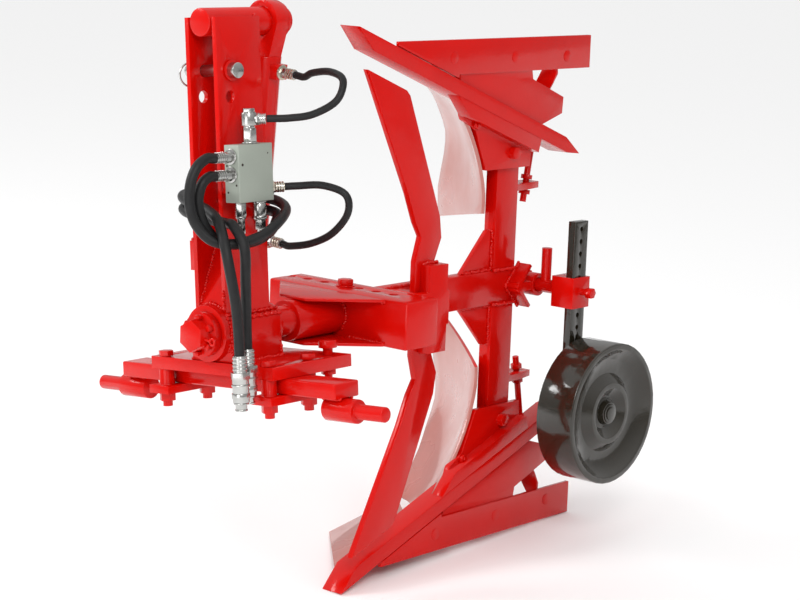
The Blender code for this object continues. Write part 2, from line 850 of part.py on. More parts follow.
# Bodies: the upper one is the lower one turned over, a mirror image through the spindle's plane.
SHIN = [
    (0.535, 0.400),
    (0.575, 0.370),
    (0.615, 0.336),
    (0.648, 0.296),
    (0.673, 0.254),
    (0.690, 0.214),
    (0.700, 0.174),
    (0.700, 0.140),
]
WING = [
    (-0.113, 0.657, 0.400),
    (-0.126, 0.690, 0.370),
    (-0.160, 0.765, 0.335),
    (-0.192, 0.825, 0.300),
    (-0.206, 0.862, 0.260),
    (-0.215, 0.872, 0.215),
    (-0.225, 0.870, 0.150),
    (-0.250, 0.905, 0.087),
]
SHIN_X = 0.018
SHEET = 0.006
COLUMNS = 8
SHARE_EDGE = [(-0.0003, 0.361, 0.4635), (-0.182, 0.543, 0.4605)]
SHARE_SEAM = [(-0.0003, 0.549, 0.4035), (-0.116, 0.655, 0.4015)]
SHARE_T = [0.002, 0.0065, 0.009, 0.009]
STAY = [
    (0.0364, 0.880, 0.414),
    (0.020, 0.880, 0.385),
    (0.000, 0.873, 0.350),
    (-0.060, 0.860, 0.325),
    (-0.130, 0.850, 0.310),
    (-0.185, 0.825, 0.300),
]

for side, word in ((1, "upper"), (-1, "lower")):
    s = side
    bar_in = LAND_X - BAR_W
    plate(
        f"{word}_bar_point",
        "X",
        [
            (0.327, s * (bar_z(0.327) + BAR_DROP)),
            (0.364, s * bar_z(0.364)),
            (0.914, s * bar_z(0.914)),
            (0.952, s * (bar_z(0.952) + 0.010)),
            (0.909, s * (bar_z(0.909) + BAR_DROP)),
        ],
        (bar_in, LAND_X),
        RED,
        TURN,
    )
    land = plate(
        f"{word}_landside",
        "X",
        [
            (0.428, s * LAND_BOTTOM),
            (LAND_REAR, s * LAND_BOTTOM),
            (LAND_REAR, s * LAND_TOP),
            (0.590, s * LAND_TOP),
            (0.590, s * (bar_z(0.590) + BAR_DROP + 0.002)),
            (0.428, s * (bar_z(0.428) + BAR_DROP + 0.002)),
        ],
        (LAND_X - LAND_T, LAND_X),
        RED,
        TURN,
    )
    strut = plate(
        f"{word}_landside_strut",
        "X",
        [
            (0.760, s * (bar_z(0.760) + BAR_DROP + GAP)),
            (0.840, s * (bar_z(0.840) + BAR_DROP + GAP)),
            (0.900, s * 0.312),
            (0.902, s * 0.342),
            (0.808, s * 0.378),
            (0.795, s * 0.440),
            (0.600, s * 0.440),
            (0.600, s * (bar_z(0.600) + BAR_DROP + GAP)),
        ],
        (0.026, LAND_X - LAND_T + 0.002),
        body=TURN,
        helper=True,
    )
    join(land, strut)
    share_rows = []
    for k in range(4):
        t = k / 3
        edge = [Vector((x, y, s * z)) for x, y, z in SHARE_EDGE]
        seam = [Vector((x, y, s * z)) for x, y, z in SHARE_SEAM]
        share_rows.append([edge[0].lerp(seam[0], t), edge[1].lerp(seam[1], t)])
    share_grid = [[a.lerp(b, c / 4) for c in range(5)] for a, b in share_rows]
    blade = sheet(f"{word}_share", share_grid, 0.0, SHARE_T, RED, TURN)
    # Moldboard: a curved sheet between its shin and its wing.
    shin_line = smooth_path([Vector((SHIN_X, y, s * z)) for y, z in SHIN], 2)
    wing_line = smooth_path([Vector((x, y, s * z)) for x, y, z in WING], 2)
    board_grid = []
    for a, b in zip(shin_line, wing_line):
        row = []
        for i in range(COLUMNS + 1):
            t = i / COLUMNS
            p = a.lerp(b, t)
            p.y += 0.022 * 4 * t * (1 - t) * (0.3 + 0.7 * abs(a.z - s * 0.14) / 0.26)
            row.append(p)
        board_grid.append(row)
    board = sheet(f"{word}_moldboard", board_grid, 0.0, SHEET, RED, TURN, smooth=True)
    bar_space = plate(
        f"{word}_bar_space",
        "X",
        [
            (0.327, s * (bar_z(0.327) + BAR_DROP + GAP)),
            (0.327, s * (bar_z(0.327) - GAP)),
            (0.960, s * (bar_z(0.960) - GAP)),
            (0.960, s * (bar_z(0.960) + BAR_DROP + GAP)),
        ],
        (bar_in - GAP, 0.08),
        body=TURN,
        helper=True,
    )
    cut(board, bar_space)
    cut(blade, bar_space)
    board_space = sheet(f"{word}_board_space", board_grid, -0.020, SHEET + GAP, None, TURN, helper=True)

    # Stay: a curved strip from the landside to the back of the wing.
    stay_line = smooth_path([Vector((x, y, s * z)) for x, y, z in STAY], 3)
    stay = strip(f"{word}_tail_stay", stay_line, 0.030, 0.006, RED, TURN)
    land_space = box(
        f"{word}_land_space", (LAND_X - LAND_T - GAP, 0.08), (0.7, 1.0), (s * 0.33, s * 0.50), body=TURN, helper=True
    )
    cut(stay, board_space, land_space)

    # Frog: side plate on the leg, carrier under the bar point, strut to the landside.
    frog = plate(
        f"{word}_frog",
        "X",
        [
            (0.699, s * 0.218),
            (0.826, s * 0.218),
            (0.829, s * (bar_z(0.829) - 0.006)),
            (0.612, s * (bar_z(0.612) - 0.006)),
            (0.630, s * 0.312),
            (0.664, s * 0.292),
        ],
        (BEAM_NEAR + GAP, 0.026),
        RED,
        TURN,
    )
    carrier = plate(
        f"{word}_carrier",
        "X",
        [
            (0.590, s * (bar_z(0.590) - GAP)),
            (0.833, s * (bar_z(0.833) - GAP)),
            (0.826, s * (bar_z(0.826) - 0.0265)),
            (0.624, s * (bar_z(0.624) - 0.0265)),
        ],
        (0.020, LAND_X),
        body=TURN,
        helper=True,
    )
    pivot = rod(
        f"{word}_pivot_bolt", "X", (0.772, s * 0.246), (0.02, 0.038), 0.012, body=TURN, helper=True, sides=6
    )
    join(frog, carrier, pivot)
    cut(frog, board_space)
    rod_low = (ADJUST_X, ADJUST_LOW[0], s * ADJUST_LOW[1])
    rod_high = (ADJUST_X, ADJUST_HIGH[0], s * ADJUST_HIGH[1])
    adjust = between(f"{word}_adjusting_rod", rod_low, rod_high, 0.006, RED, TURN, sides=16)
    cross_pin = rod(
        f"{word}_rod_cross_pin",
        "X",
        (ADJUST_LOW[0], s * (ADJUST_LOW[1] - 0.006)),
        (ADJUST_X - 0.008, 0.0257),
        0.0065,
        body=TURN,
        helper=True,
        sides=16,
    )
    join(adjust, cross_pin)
    for n, k in enumerate((0.745, 0.898)):
        a = Vector(rod_low).lerp(Vector(rod_high), k - 0.022)
        b = Vector(rod_low).lerp(Vector(rod_high), k + 0.022)
        join(adjust, between(f"{word}_rod_nut_{n}", a, b, 0.0105, body=TURN, helper=True, sides=6))

# Wheel bracket on the beam's end, its swinging arm, post and disc wheel
sleeve_x = (0.0155, 0.045)
wheel_bracket = rod("wheel_bracket", "X", (ARM_Y, 0), sleeve_x, 0.021, RED, TURN)
vee_upper = plate(
    "vee_upper",
    "X",
    [(0.782, 0.0), (0.819, 0.040), (0.8235, 0.036), (0.792, 0.0)],
    (BEAM_NEAR + GAP, 0.044),
    body=TURN,
    helper=True,
)
vee_lower = plate(
    "vee_lower",
    "X",
    [(0.782, 0.0), (0.819, -0.040), (0.8235, -0.036), (0.792, 0.0)],
    (BEAM_NEAR + GAP, 0.044),
    body=TURN,
    helper=True,
)
vee_web = box("vee_web", (BEAM_NEAR + GAP, 0.044), (0.786, 0.840), (-0.008, 0.008), body=TURN, helper=True)
arm_bore = rod("arm_bore", "X", (ARM_Y, 0), (0.0, 0.1), ARM_R + SLIDE_GAP, body=TURN, helper=True)
join(wheel_bracket, vee_upper, vee_lower, vee_web)
cut(wheel_bracket, arm_bore)

arm = rod("wheel_arm", "X", (0, 0), (0.0155, CLAMP_IN + 0.005), ARM_R, RED, ARM)
clamp_box = box(
    "post_clamp", (CLAMP_IN, CLAMP_OUT), (-0.025, 0.025), (-0.030, 0.026), body=ARM, helper=True
)
stop_rod = rod("stop_rod", "Z", (0.0605, 0), (0.0, 0.070), 0.0095, body=ARM, helper=True, sides=16)
post_slot = box(
    "post_slot",
    (POST_IN - SLIDE_GAP, POST_IN + POST_T + SLIDE_GAP),
    (-POST_W / 2 - SLIDE_GAP, POST_W / 2 + SLIDE_GAP),
    (-0.1, 0.1),
    body=ARM,
    helper=True,
)
screw = rod("clamp_bolt", "X", (0, 0), (CLAMP_OUT - 0.002, 0.158), 0.0065, body=ARM, helper=True, sides=16)
screw_head = rod("clamp_bolt_head", "X", (0, 0), (0.155, 0.167), 0.010, body=ARM, helper=True, sides=6)
join(arm, clamp_box, stop_rod, screw, screw_head)
cut(arm, post_slot)

post = box(
    "wheel_post",
    (POST_IN, POST_IN + POST_T),
    (-POST_W / 2, POST_W / 2),
    (AXLE_Z - 0.022, POST_TOP),
    BLACK,
    POST,
    bevel=0.001,
)
axle = rod("stub_axle", "X", (0, AXLE_Z), (POST_IN + 0.004, 0.222), 0.0125, body=POST, helper=True)
join(post, axle)
for n in range(13):
    z = POST_TOP - 0.014 - 0.0225 * n
    if z > AXLE_Z + 0.03:
        hole = rod(f"post_hole_{n}", "X", (0, z), (0.1, 0.2), 0.0045, body=POST, helper=True, sides=12)
        cut(post, hole)

# The wheel turns on its own axes: a pressed drum with a dished disc and a hub, turned from one outline.
PROFILE = [
    (WHEEL_IN, 0.1285),
    (WHEEL_OUT - 0.002, 0.1285),
    (WHEEL_OUT, 0.1265),
    (WHEEL_OUT, 0.1180),
    (WHEEL_OUT - 0.004, 0.1140),
    (WHEEL_OUT - 0.018, 0.0980),
    (WHEEL_OUT - 0.020, 0.0720),
    (WHEEL_OUT - 0.006, 0.0560),
    (WHEEL_OUT - 0.006, 0.0460),
    (WHEEL_OUT - 0.022, 0.0300),
    (WHEEL_OUT - 0.020, 0.0220),
    (WHEEL_OUT - 0.008, 0.0200),
    (WHEEL_OUT - 0.008, 0.0135),
    (WHEEL_IN, 0.0135),
    (WHEEL_IN, 0.0220),
    (WHEEL_OUT - 0.026, 0.0240),
    (WHEEL_OUT - 0.026, 0.0310),
    (WHEEL_OUT - 0.010, 0.0480),
    (WHEEL_OUT - 0.010, 0.0540),
    (WHEEL_OUT - 0.024, 0.0700),
    (WHEEL_OUT - 0.022, 0.1000),
    (WHEEL_OUT - 0.008, 0.1160),
    (WHEEL_OUT - 0.006, 0.1245),
    (WHEEL_IN, 0.1245),
]
outline = bpy.data.meshes.new("gauge_wheel")
corners = [(x, 0, r) for x, r in PROFILE]
outline.from_pydata(corners, [(i, (i + 1) % len(PROFILE)) for i in range(len(PROFILE))], [])
wheel = bpy.data.objects.new("gauge_wheel", outline)
scene.collection.objects.link(wheel)
turned = wheel.modifiers.new("turned", "SCREW")
turned.axis = "X"
turned.steps = 40
turned.render_steps = 40
turned.use_merge_vertices = True
turned.merge_threshold = 0.00001
turned.use_normal_calculate = True
finish(wheel, BLACK, WHEEL, smooth=True)

# Hoses: two to the cylinder, two supply hoses with their couplers. Each starts and ends on its fitting's face.
HOSE_R = 0.0064
SUPPLY_R = 0.0088
turn = Matrix.Rotation(SWING, 4, "Y")


def on_barrel(x, z):
    p = Vector((0, CYL_Y, BAR_Z)) + turn @ Vector((x, 0, z))
    return p


up_port = on_barrel(0.070 + GAP, -0.078)
up_way = on_barrel(0.090, -0.078)
hose(
    "upper_cylinder_hose",
    [
        up_port,
        up_way,
        (0.098, 0.197, 0.4045),
        (0.140, 0.192, 0.406),
        (0.175, 0.183, 0.393),
        (0.175, 0.167, 0.362),
        (0.147, 0.143, 0.342),
        (0.118, 0.120, 0.337),
        (VX + 0.0206, 0.0956, 0.337),
    ],
    HOSE_R,
    HEAD,
)
low_port = on_barrel(0.070 + GAP, -0.354)
low_way = on_barrel(0.088, -0.354)
hose(
    "lower_cylinder_hose",
    [
        (VX + 0.0146, 0.1376, 0.228),
        (VX + 0.030, 0.150, 0.2285),
        (0.135, 0.172, 0.2285),
        (0.170, 0.186, 0.214),
        (0.166, 0.194, 0.183),
        (0.128, 0.198, 0.150),
        (0.080, 0.200, 0.132),
        low_way,
        low_port,
    ],
    HOSE_R,
    HEAD,
)
SUPPLY_ROUTES = {
    "upper": [
        (0.070, -GAP, 0.281),
        (0.070, -0.018, 0.281),
        (0.068, -0.038, 0.268),
        (0.065, -0.049, 0.243),
        (0.064, -0.051, 0.212),
        (0.070, -0.044, 0.181),
        (0.086, -0.026, 0.156),
        (0.108, 0.004, 0.150),
        (0.122, 0.045, 0.160),
        (0.120, 0.085, 0.178),
        (0.095, 0.128, 0.193),
        (0.052, 0.154, 0.203),
        (0.000, 0.158, 0.210),
        (-0.026, 0.160, 0.213),
        (-0.0445, 0.148, 0.216),
        (-0.050, 0.118, 0.220),
        (-0.0475, 0.075, 0.221),
        (-0.041, 0.038, 0.219),
        (-0.018, 0.017, 0.214),
        (0.015, 0.006, 0.209),
        (0.050, 0.000, 0.200),
        (0.082, -0.010, 0.185),
        (0.110, -0.026, 0.155),
        (0.122, -0.028, 0.112),
        (0.124, -0.020, 0.060),
        (0.120, -0.012, 0.010),
        (0.120, -0.012, -0.020),
    ],
    "lower": [
        (0.070, -GAP, 0.253),
        (0.070, -0.013, 0.253),
        (0.068, -0.027, 0.243),
        (0.064, -0.032, 0.222),
        (0.062, -0.029, 0.200),
        (0.065, -0.020, 0.176),
        (0.075, -0.003, 0.153),
        (0.088, 0.022, 0.147),
        (0.101, 0.055, 0.151),
        (0.100, 0.086, 0.162),
        (0.080, 0.120, 0.174),
        (0.048, 0.154, 0.184),
        (0.000, 0.158, 0.190),
        (-0.026, 0.160, 0.193),
        (-0.0445, 0.148, 0.196),
        (-0.050, 0.118, 0.200),
        (-0.0475, 0.075, 0.201),
        (-0.041, 0.038, 0.199),
        (-0.018, 0.020, 0.194),
        (0.015, 0.012, 0.189),
        (0.048, 0.010, 0.184),
        (0.080, 0.010, 0.180),
        (0.108, -0.002, 0.177),
        (0.131, -0.004, 0.146),
        (0.124, 0.003, 0.092),
        (0.114, 0.012, 0.045),
        (0.106, 0.019, 0.008),
        (0.106, 0.019, -0.014),
    ],
}
for word, route in SUPPLY_ROUTES.items():
    hose(f"{word}_supply_hose", route, SUPPLY_R, HEAD, steps=3, sides=2)
    x, y, top = route[-1]
    top -= GAP
    coupler = rod(
        f"{word}_quick_coupler", "Z", (x, y), (top - 0.072, top - 0.026), 0.013, ZINC, HEAD, sides=20
    )
    ferrule = rod(
        f"{word}_coupler_ferrule", "Z", (x, y), (top - 0.028, top), 0.0105, body=HEAD, helper=True, sides=16
    )
    nipple = rod(
        f"{word}_coupler_tip",
        "Z",
        (x, y),
        (top - 0.086, top - 0.070),
        0.009,
        body=HEAD,
        helper=True,
        sides=16,
    )
    hexagon = rod(
        f"{word}_coupler_hex",
        "Z",
        (x, y),
        (top - 0.036, top - 0.026),
        0.0155,
        body=HEAD,
        helper=True,
        sides=6,
    )
    join(coupler, ferrule, nipple, hexagon)

# The origin sits on the ground under the middle of the plough, its hoses and couplers left out.
bpy.context.view_layer.update()
graph = bpy.context.evaluated_depsgraph_get()
corners = []
for obj in parts.objects:
    if "hose" in obj.name or "coupler" in obj.name:
        continue
    shape = obj.evaluated_get(graph)
    mesh = shape.to_mesh()
    corners += [shape.matrix_world @ v.co for v in mesh.vertices]
    shape.to_mesh_clear()
low = Vector([min(p[i] for p in corners) for i in range(3)])
high = Vector([max(p[i] for p in corners) for i in range(3)])
ROOT.location = (-(low.x + high.x) / 2, -(low.y + high.y) / 2, -low.z)
bpy.context.view_layer.update()
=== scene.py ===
import json
import math
import random

import bpy
from mathutils import Matrix, Vector


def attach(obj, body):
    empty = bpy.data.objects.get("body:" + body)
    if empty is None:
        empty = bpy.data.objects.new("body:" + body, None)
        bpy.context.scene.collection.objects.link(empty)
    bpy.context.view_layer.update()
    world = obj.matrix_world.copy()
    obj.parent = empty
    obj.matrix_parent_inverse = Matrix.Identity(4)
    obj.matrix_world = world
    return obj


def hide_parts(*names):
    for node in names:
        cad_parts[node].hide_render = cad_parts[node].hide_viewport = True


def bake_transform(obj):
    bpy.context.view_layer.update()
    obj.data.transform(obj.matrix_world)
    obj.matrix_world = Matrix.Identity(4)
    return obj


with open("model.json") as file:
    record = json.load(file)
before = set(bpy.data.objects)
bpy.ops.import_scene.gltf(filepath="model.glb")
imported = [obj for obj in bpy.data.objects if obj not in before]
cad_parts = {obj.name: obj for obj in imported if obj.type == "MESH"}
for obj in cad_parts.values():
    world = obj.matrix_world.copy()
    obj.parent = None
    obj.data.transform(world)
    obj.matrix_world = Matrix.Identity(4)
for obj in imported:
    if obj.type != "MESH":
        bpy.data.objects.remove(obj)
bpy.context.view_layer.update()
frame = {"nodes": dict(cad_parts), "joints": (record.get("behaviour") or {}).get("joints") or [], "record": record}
print("frame loaded")

# The plough's own axes, read from its joints: x sideways, y rearward along the spindle, z up the mast
joints = {joint["name"]: joint for joint in frame["joints"]}


def axesFrom(sideways, rearward, origin):
    x = Vector(sideways).normalized()
    y = Vector(rearward).normalized()
    z = x.cross(y).normalized()
    y = z.cross(x)
    turned = Matrix((x, y, z)).transposed().to_4x4()
    return Matrix.Translation(Vector(origin)) @ turned


spindle = joints["turnover"]
wheelJoint = joints["wheel_spin"]
cylinderJoint = joints["cylinder_swing"]
turnAxes = axesFrom([-v for v in joints["wheel_arm_swing"]["axis"]], spindle["axis"], spindle["pos_m"])
headAxes = axesFrom(joints["crossbar_shift"]["axis"], spindle["axis"], spindle["pos_m"])
wheelAxes = axesFrom(wheelJoint["axis"], spindle["axis"], wheelJoint["pos_m"])
rodLine = Vector(joints["rod_retract"]["axis"]).normalized()
hangSide = Vector(cylinderJoint["axis"]).cross(rodLine) * -1
cylinderAxes = axesFrom(hangSide, [-v for v in cylinderJoint["axis"]], cylinderJoint["pos_m"])

# Where a small piece is placed, and the body that it rides on
onHead = (headAxes, "headstock")
onTurn = (turnAxes, "turning_frame")
onBarrel = (cylinderAxes, "turnover_cylinder")
onCrossbar = (headAxes, "crossbar_with_pins")

# Camera, set against the turning frame: degrees, metres, and how far the spindle nut is off the middle
camera = {
    "lens": 101.77,
    "sensor": 36,
    "clip": (0.05, 100),
    "azimuth": 40.315,
    "elevation": 10.044,
    "roll": 2.110,
    "distance": 3.55,
    "nutRight": -0.3296,
    "nutUp": -0.0573,
}


def makeCamera():
    az, el, roll = (math.radians(camera[k]) for k in ("azimuth", "elevation", "roll"))
    forward = Vector((-math.sin(az) * math.cos(el), math.cos(az) * math.cos(el), -math.sin(el)))
    right = Vector((math.cos(az), math.sin(az), 0))
    up = right.cross(forward)
    right, up = (
        right * math.cos(roll) + up * math.sin(roll),
        up * math.cos(roll) - right * math.sin(roll),
    )
    place = -(right * camera["nutRight"] + up * camera["nutUp"] + forward * camera["distance"])
    local = Matrix((right, up, -forward)).transposed().to_4x4()
    data = bpy.data.cameras.new("camera")
    data.lens = camera["lens"]
    data.sensor_width = camera["sensor"]
    data.clip_start, data.clip_end = camera["clip"]
    cam = bpy.data.objects.new("camera", data)
    bpy.context.scene.collection.objects.link(cam)
    cam.matrix_world = turnAxes @ Matrix.Translation(place) @ local
    bpy.context.scene.camera = cam


makeCamera()


# A shader node with its settings and the values of its inputs
def addNode(tree, kind, inputs=None, **settings):
    node = tree.nodes.new(kind)
    for key, value in settings.items():
        setattr(node, key, value)
    for label, value in (inputs or {}).items():
        node.inputs[label].default_value = value
    return node


# Links, each written as a node, its output, the next node and its input
def wire(tree, *links):
    for source, output, target, socket in links:
        tree.links.new(source.outputs[output], target.inputs[socket])


# Studio: a pale floor, a bright surround and three soft lamps
studio = {
    "horizon": 0.42,
    "zenith": 1.1,
    "brighten": (0.1, 0.85),  # heights between which the surround goes from horizon to zenith
    "backdrop": 1.0,
    "floorSize": 40,
    "floorShade": 0.97,
    "floorRoughness": 0.8,
    "aim": (0, 0, 0.5),
    "lamps": {
        "key": {"place": (2.4, -2.2, 2.6), "power": 50, "size": 1.2},
        "rim": {"place": (-2.4, -2.0, 2.2), "power": 45, "size": 1.1},
        "low": {"place": (0.6, -3.6, 0.7), "power": 26, "size": 1.8},
    },
}


def makeSurround():
    world = bpy.data.worlds.new("studio")
    world.use_nodes = True
    tree = world.node_tree
    background = tree.nodes["Background"]
    background.inputs["Color"].default_value = (1, 1, 1, 1)
    low, high = studio["brighten"]
    place = addNode(tree, "ShaderNodeTexCoord")
    split = addNode(tree, "ShaderNodeSeparateXYZ")
    rise = addNode(
        tree,
        "ShaderNodeMapRange",
        {"From Min": low, "From Max": high, "To Min": studio["horizon"], "To Max": studio["zenith"]},
    )
    path = addNode(tree, "ShaderNodeLightPath")
    choose = addNode(tree, "ShaderNodeMix", {"B": studio["backdrop"]})
    wire(
        tree,
        (place, "Generated", split, "Vector"),
        (split, "Z", rise, "Value"),
        (path, "Is Camera Ray", choose, "Factor"),
        (rise, "Result", choose, "A"),
        (choose, "Result", background, "Strength"),
    )
    bpy.context.scene.world = world


def makeFloor():
    bpy.ops.mesh.primitive_plane_add(size=studio["floorSize"], location=(0, 0, 0))
    floor = bpy.context.object
    floor.name = "floor"
    look = bpy.data.materials.new("floor")
    look.use_nodes = True
    shader = look.node_tree.nodes["Principled BSDF"]
    shader.inputs["Base Color"].default_value = (*[studio["floorShade"]] * 3, 1)
    shader.inputs["Roughness"].default_value = studio["floorRoughness"]
    floor.data.materials.append(look)


def makeLamps():
    for name, lamp in studio["lamps"].items():
        data = bpy.data.lights.new(name, "AREA")
        data.energy = lamp["power"]
        data.size = lamp["size"]
        light = bpy.data.objects.new(name, data)
        bpy.context.scene.collection.objects.link(light)
        light.location = lamp["place"]
        light.rotation_mode = "QUATERNION"
        light.rotation_quaternion = (Vector(studio["aim"]) - light.location).to_track_quat("-Z", "Y")


bpy.context.scene.view_settings.view_transform = "Standard"
makeSurround()
makeFloor()
makeLamps()
print("camera and studio ready")


# Shared effects, each built once as a node group
def newGroup(name, inputs, outputs):
    group = bpy.data.node_groups.new(name, "ShaderNodeTree")
    for label, kind, value in inputs:
        made = group.interface.new_socket(label, in_out="INPUT", socket_type=kind)
        made.default_value = value
    for label, kind in outputs:
        group.interface.new_socket(label, in_out="OUTPUT", socket_type=kind)
    start = group.nodes.new("NodeGroupInput")
    end = group.nodes.new("NodeGroupOutput")
    return group, start, end


# Paint that varies slightly in depth over the piece
mottle = {"detail": 4, "from": 0.35, "to": 0.7}


def mottledColor():
    group, start, end = newGroup(
        "mottledColor",
        [
            ("Color", "NodeSocketColor", (1, 1, 1, 1)),
            ("Deep", "NodeSocketColor", (0, 0, 0, 1)),
            ("Amount", "NodeSocketFloat", 0.3),
            ("Scale", "NodeSocketFloat", 9.0),
        ],
        [("Color", "NodeSocketColor")],
    )
    place = addNode(group, "ShaderNodeTexCoord")
    noise = addNode(group, "ShaderNodeTexNoise", {"Detail": mottle["detail"]})
    ramp = addNode(group, "ShaderNodeMapRange", {"From Min": mottle["from"], "From Max": mottle["to"]})
    scaled = addNode(group, "ShaderNodeMath", operation="MULTIPLY")
    mix = addNode(group, "ShaderNodeMix", data_type="RGBA")
    wire(
        group,
        (place, "Object", noise, "Vector"),
        (start, "Scale", noise, "Scale"),
        (noise, "Fac", ramp, "Value"),
        (ramp, "Result", scaled, 0),
        (start, "Amount", scaled, 1),
        (scaled, "Value", mix, "Factor"),
        (start, "Color", mix, "A"),
        (start, "Deep", mix, "B"),
        (mix, "Result", end, "Color"),
    )
    return group


# Orange peel and brush waviness as a surface height, with uneven roughness
skin = {
    "waveScale": 26,
    "waveHeight": 0.004,
    "peelHeight": 0.0006,
    "blotchScale": 14,
    "blotchFrom": 0.3,
    "blotchTo": 0.7,
    "smoothest": 0.8,
    "roughest": 1.35,
}


def paintSkin():
    group, start, end = newGroup(
        "paintSkin",
        [
            ("Peel Scale", "NodeSocketFloat", 260.0),
            ("Peel Depth", "NodeSocketFloat", 0.25),
            ("Wave Depth", "NodeSocketFloat", 0.25),
            ("Roughness", "NodeSocketFloat", 0.2),
        ],
        [("Normal", "NodeSocketVector"), ("Roughness", "NodeSocketFloat")],
    )
    place = addNode(group, "ShaderNodeTexCoord")
    fine = addNode(group, "ShaderNodeTexNoise")
    broad = addNode(group, "ShaderNodeTexNoise", {"Scale": skin["waveScale"]})
    blotch = addNode(group, "ShaderNodeTexNoise", {"Scale": skin["blotchScale"]})
    spread = addNode(
        group,
        "ShaderNodeMapRange",
        {
            "From Min": skin["blotchFrom"],
            "From Max": skin["blotchTo"],
            "To Min": skin["smoothest"],
            "To Max": skin["roughest"],
        },
    )
    uneven = addNode(group, "ShaderNodeMath", operation="MULTIPLY")
    waves = addNode(group, "ShaderNodeBump", {"Distance": skin["waveHeight"]})
    peel = addNode(group, "ShaderNodeBump", {"Distance": skin["peelHeight"]})
    wire(
        group,
        (place, "Object", fine, "Vector"),
        (place, "Object", broad, "Vector"),
        (place, "Object", blotch, "Vector"),
        (start, "Peel Scale", fine, "Scale"),
        (broad, "Fac", waves, "Height"),
        (start, "Wave Depth", waves, "Strength"),
        (fine, "Fac", peel, "Height"),
        (start, "Peel Depth", peel, "Strength"),
        (waves, "Normal", peel, "Normal"),
        (peel, "Normal", end, "Normal"),
        (blotch, "Fac", spread, "Value"),
        (spread, "Result", uneven, 0),
        (start, "Roughness", uneven, 1),
        (uneven, "Value", end, "Roughness"),
    )
    return group


# The wrapped-cloth grain of a hose cover, with broad changes of shade
braid = {"detail": 6, "bandScale": 60, "height": 0.0008}


def braidRelief():
    group, start, end = newGroup(
        "braidRelief",
        [("Depth", "NodeSocketFloat", 0.5), ("Grain", "NodeSocketFloat", 900.0)],
        [("Normal", "NodeSocketVector"), ("Shade", "NodeSocketFloat")],
    )
    place = addNode(group, "ShaderNodeTexCoord")
    noise = addNode(group, "ShaderNodeTexNoise", {"Detail": braid["detail"]})
    bands = addNode(group, "ShaderNodeTexNoise", {"Scale": braid["bandScale"]})
    bump = addNode(group, "ShaderNodeBump", {"Distance": braid["height"]})
    wire(
        group,
        (place, "Object", noise, "Vector"),
        (place, "Object", bands, "Vector"),
        (start, "Grain", noise, "Scale"),
        (start, "Depth", bump, "Strength"),
        (noise, "Fac", bump, "Height"),
        (bump, "Normal", end, "Normal"),
        (bands, "Fac", end, "Shade"),
    )
    return group


groups = {"mottle": mottledColor(), "skin": paintSkin(), "braid": braidRelief()}


def startMaterial(name, inputs):
    look = bpy.data.materials.new(name)
    look.use_nodes = True
    shader = look.node_tree.nodes["Principled BSDF"]
    for label, value in inputs.items():
        shader.inputs[label].default_value = value
    return look, shader


# Each finish: its colour, the deeper colour it is mottled with, its gloss, and how wavy its skin is
finishDefaults = {
    "metallic": 0.0,
    "coat": 0.0,
    "coatRoughness": 0.05,
    "specular": 0.5,
    "peel": 0.25,
    "wave": 0.25,
    "amount": 0.35,
    "scale": 9.0,
}
finishes = {
    "redPaint": {
        "color": (0.58, 0.003, 0.001),
        "deep": (0.44, 0.002, 0.001),
        "roughness": 0.17,
        "coat": 0.06,
        "specular": 0.22,
    },
    "blackEnamel": {
        "color": (0.016, 0.013, 0.008),
        "deep": (0.024, 0.018, 0.010),
        "roughness": 0.14,
        "coat": 0.5,
        "specular": 0.4,
        "wave": 0.4,
    },
    "zincPlate": {
        "color": (0.50, 0.50, 0.485),
        "deep": (0.27, 0.27, 0.25),
        "roughness": 0.22,
        "metallic": 1.0,
        "scale": 60,
        "wave": 0.1,
    },
    "valveMetal": {
        "color": (0.34, 0.37, 0.32),
        "deep": (0.26, 0.29, 0.25),
        "roughness": 0.5,
        "metallic": 0.35,
        "wave": 0.05,
    },
    "chromedRod": {
        "color": (0.8, 0.8, 0.8),
        "deep": (0.7, 0.7, 0.7),
        "roughness": 0.08,
        "metallic": 1.0,
        "peel": 0.0,
        "wave": 0.0,
    },
    "warmZinc": {
        "color": (0.60, 0.54, 0.45),
        "deep": (0.42, 0.34, 0.25),
        "roughness": 0.26,
        "metallic": 1.0,
        "scale": 60,
    },
    # painted reflection: a paler, greyer red standing in for the bright surround mirrored on the forward faces of
    # the boards and shares
    "boardSheenPaint": {
        "color": (0.47, 0.155, 0.125),
        "deep": (0.42, 0.12, 0.10),
        "roughness": 0.3,
        "coat": 0.7,
        "wave": 0.15,
        "scale": 5,
    },
    # painted shade: near-black standing in for the shade inside the valve's port holes
    "darkHole": {"color": (0.02, 0.004, 0.003), "deep": (0.01, 0.002, 0.002), "roughness": 0.7},
}


def paint(name):
    finish = {**finishDefaults, **finishes[name]}
    look, shader = startMaterial(
        name,
        {
            "Metallic": finish["metallic"],
            "Coat Weight": finish["coat"],
            "Coat Roughness": finish["coatRoughness"],
            "Specular IOR Level": finish["specular"],
        },
    )
    tree = look.node_tree
    tint = addNode(tree, "ShaderNodeGroup", node_tree=groups["mottle"])
    tint.inputs["Color"].default_value = (*finish["color"], 1)
    tint.inputs["Deep"].default_value = (*finish["deep"], 1)
    tint.inputs["Amount"].default_value = finish["amount"]
    tint.inputs["Scale"].default_value = finish["scale"]
    coating = addNode(tree, "ShaderNodeGroup", node_tree=groups["skin"])
    coating.inputs["Peel Depth"].default_value = finish["peel"]
    coating.inputs["Wave Depth"].default_value = finish["wave"]
    coating.inputs["Roughness"].default_value = finish["roughness"]
    wire(
        tree,
        (tint, "Color", shader, "Base Color"),
        (coating, "Normal", shader, "Normal"),
        (coating, "Roughness", shader, "Roughness"),
    )
    return look


rubberFinish = {
    "darkest": (0.006, 0.006, 0.0062, 1),
    "palest": (0.016, 0.016, 0.0165, 1),
    "roughness": 0.4,
    "specular": 0.22,
}


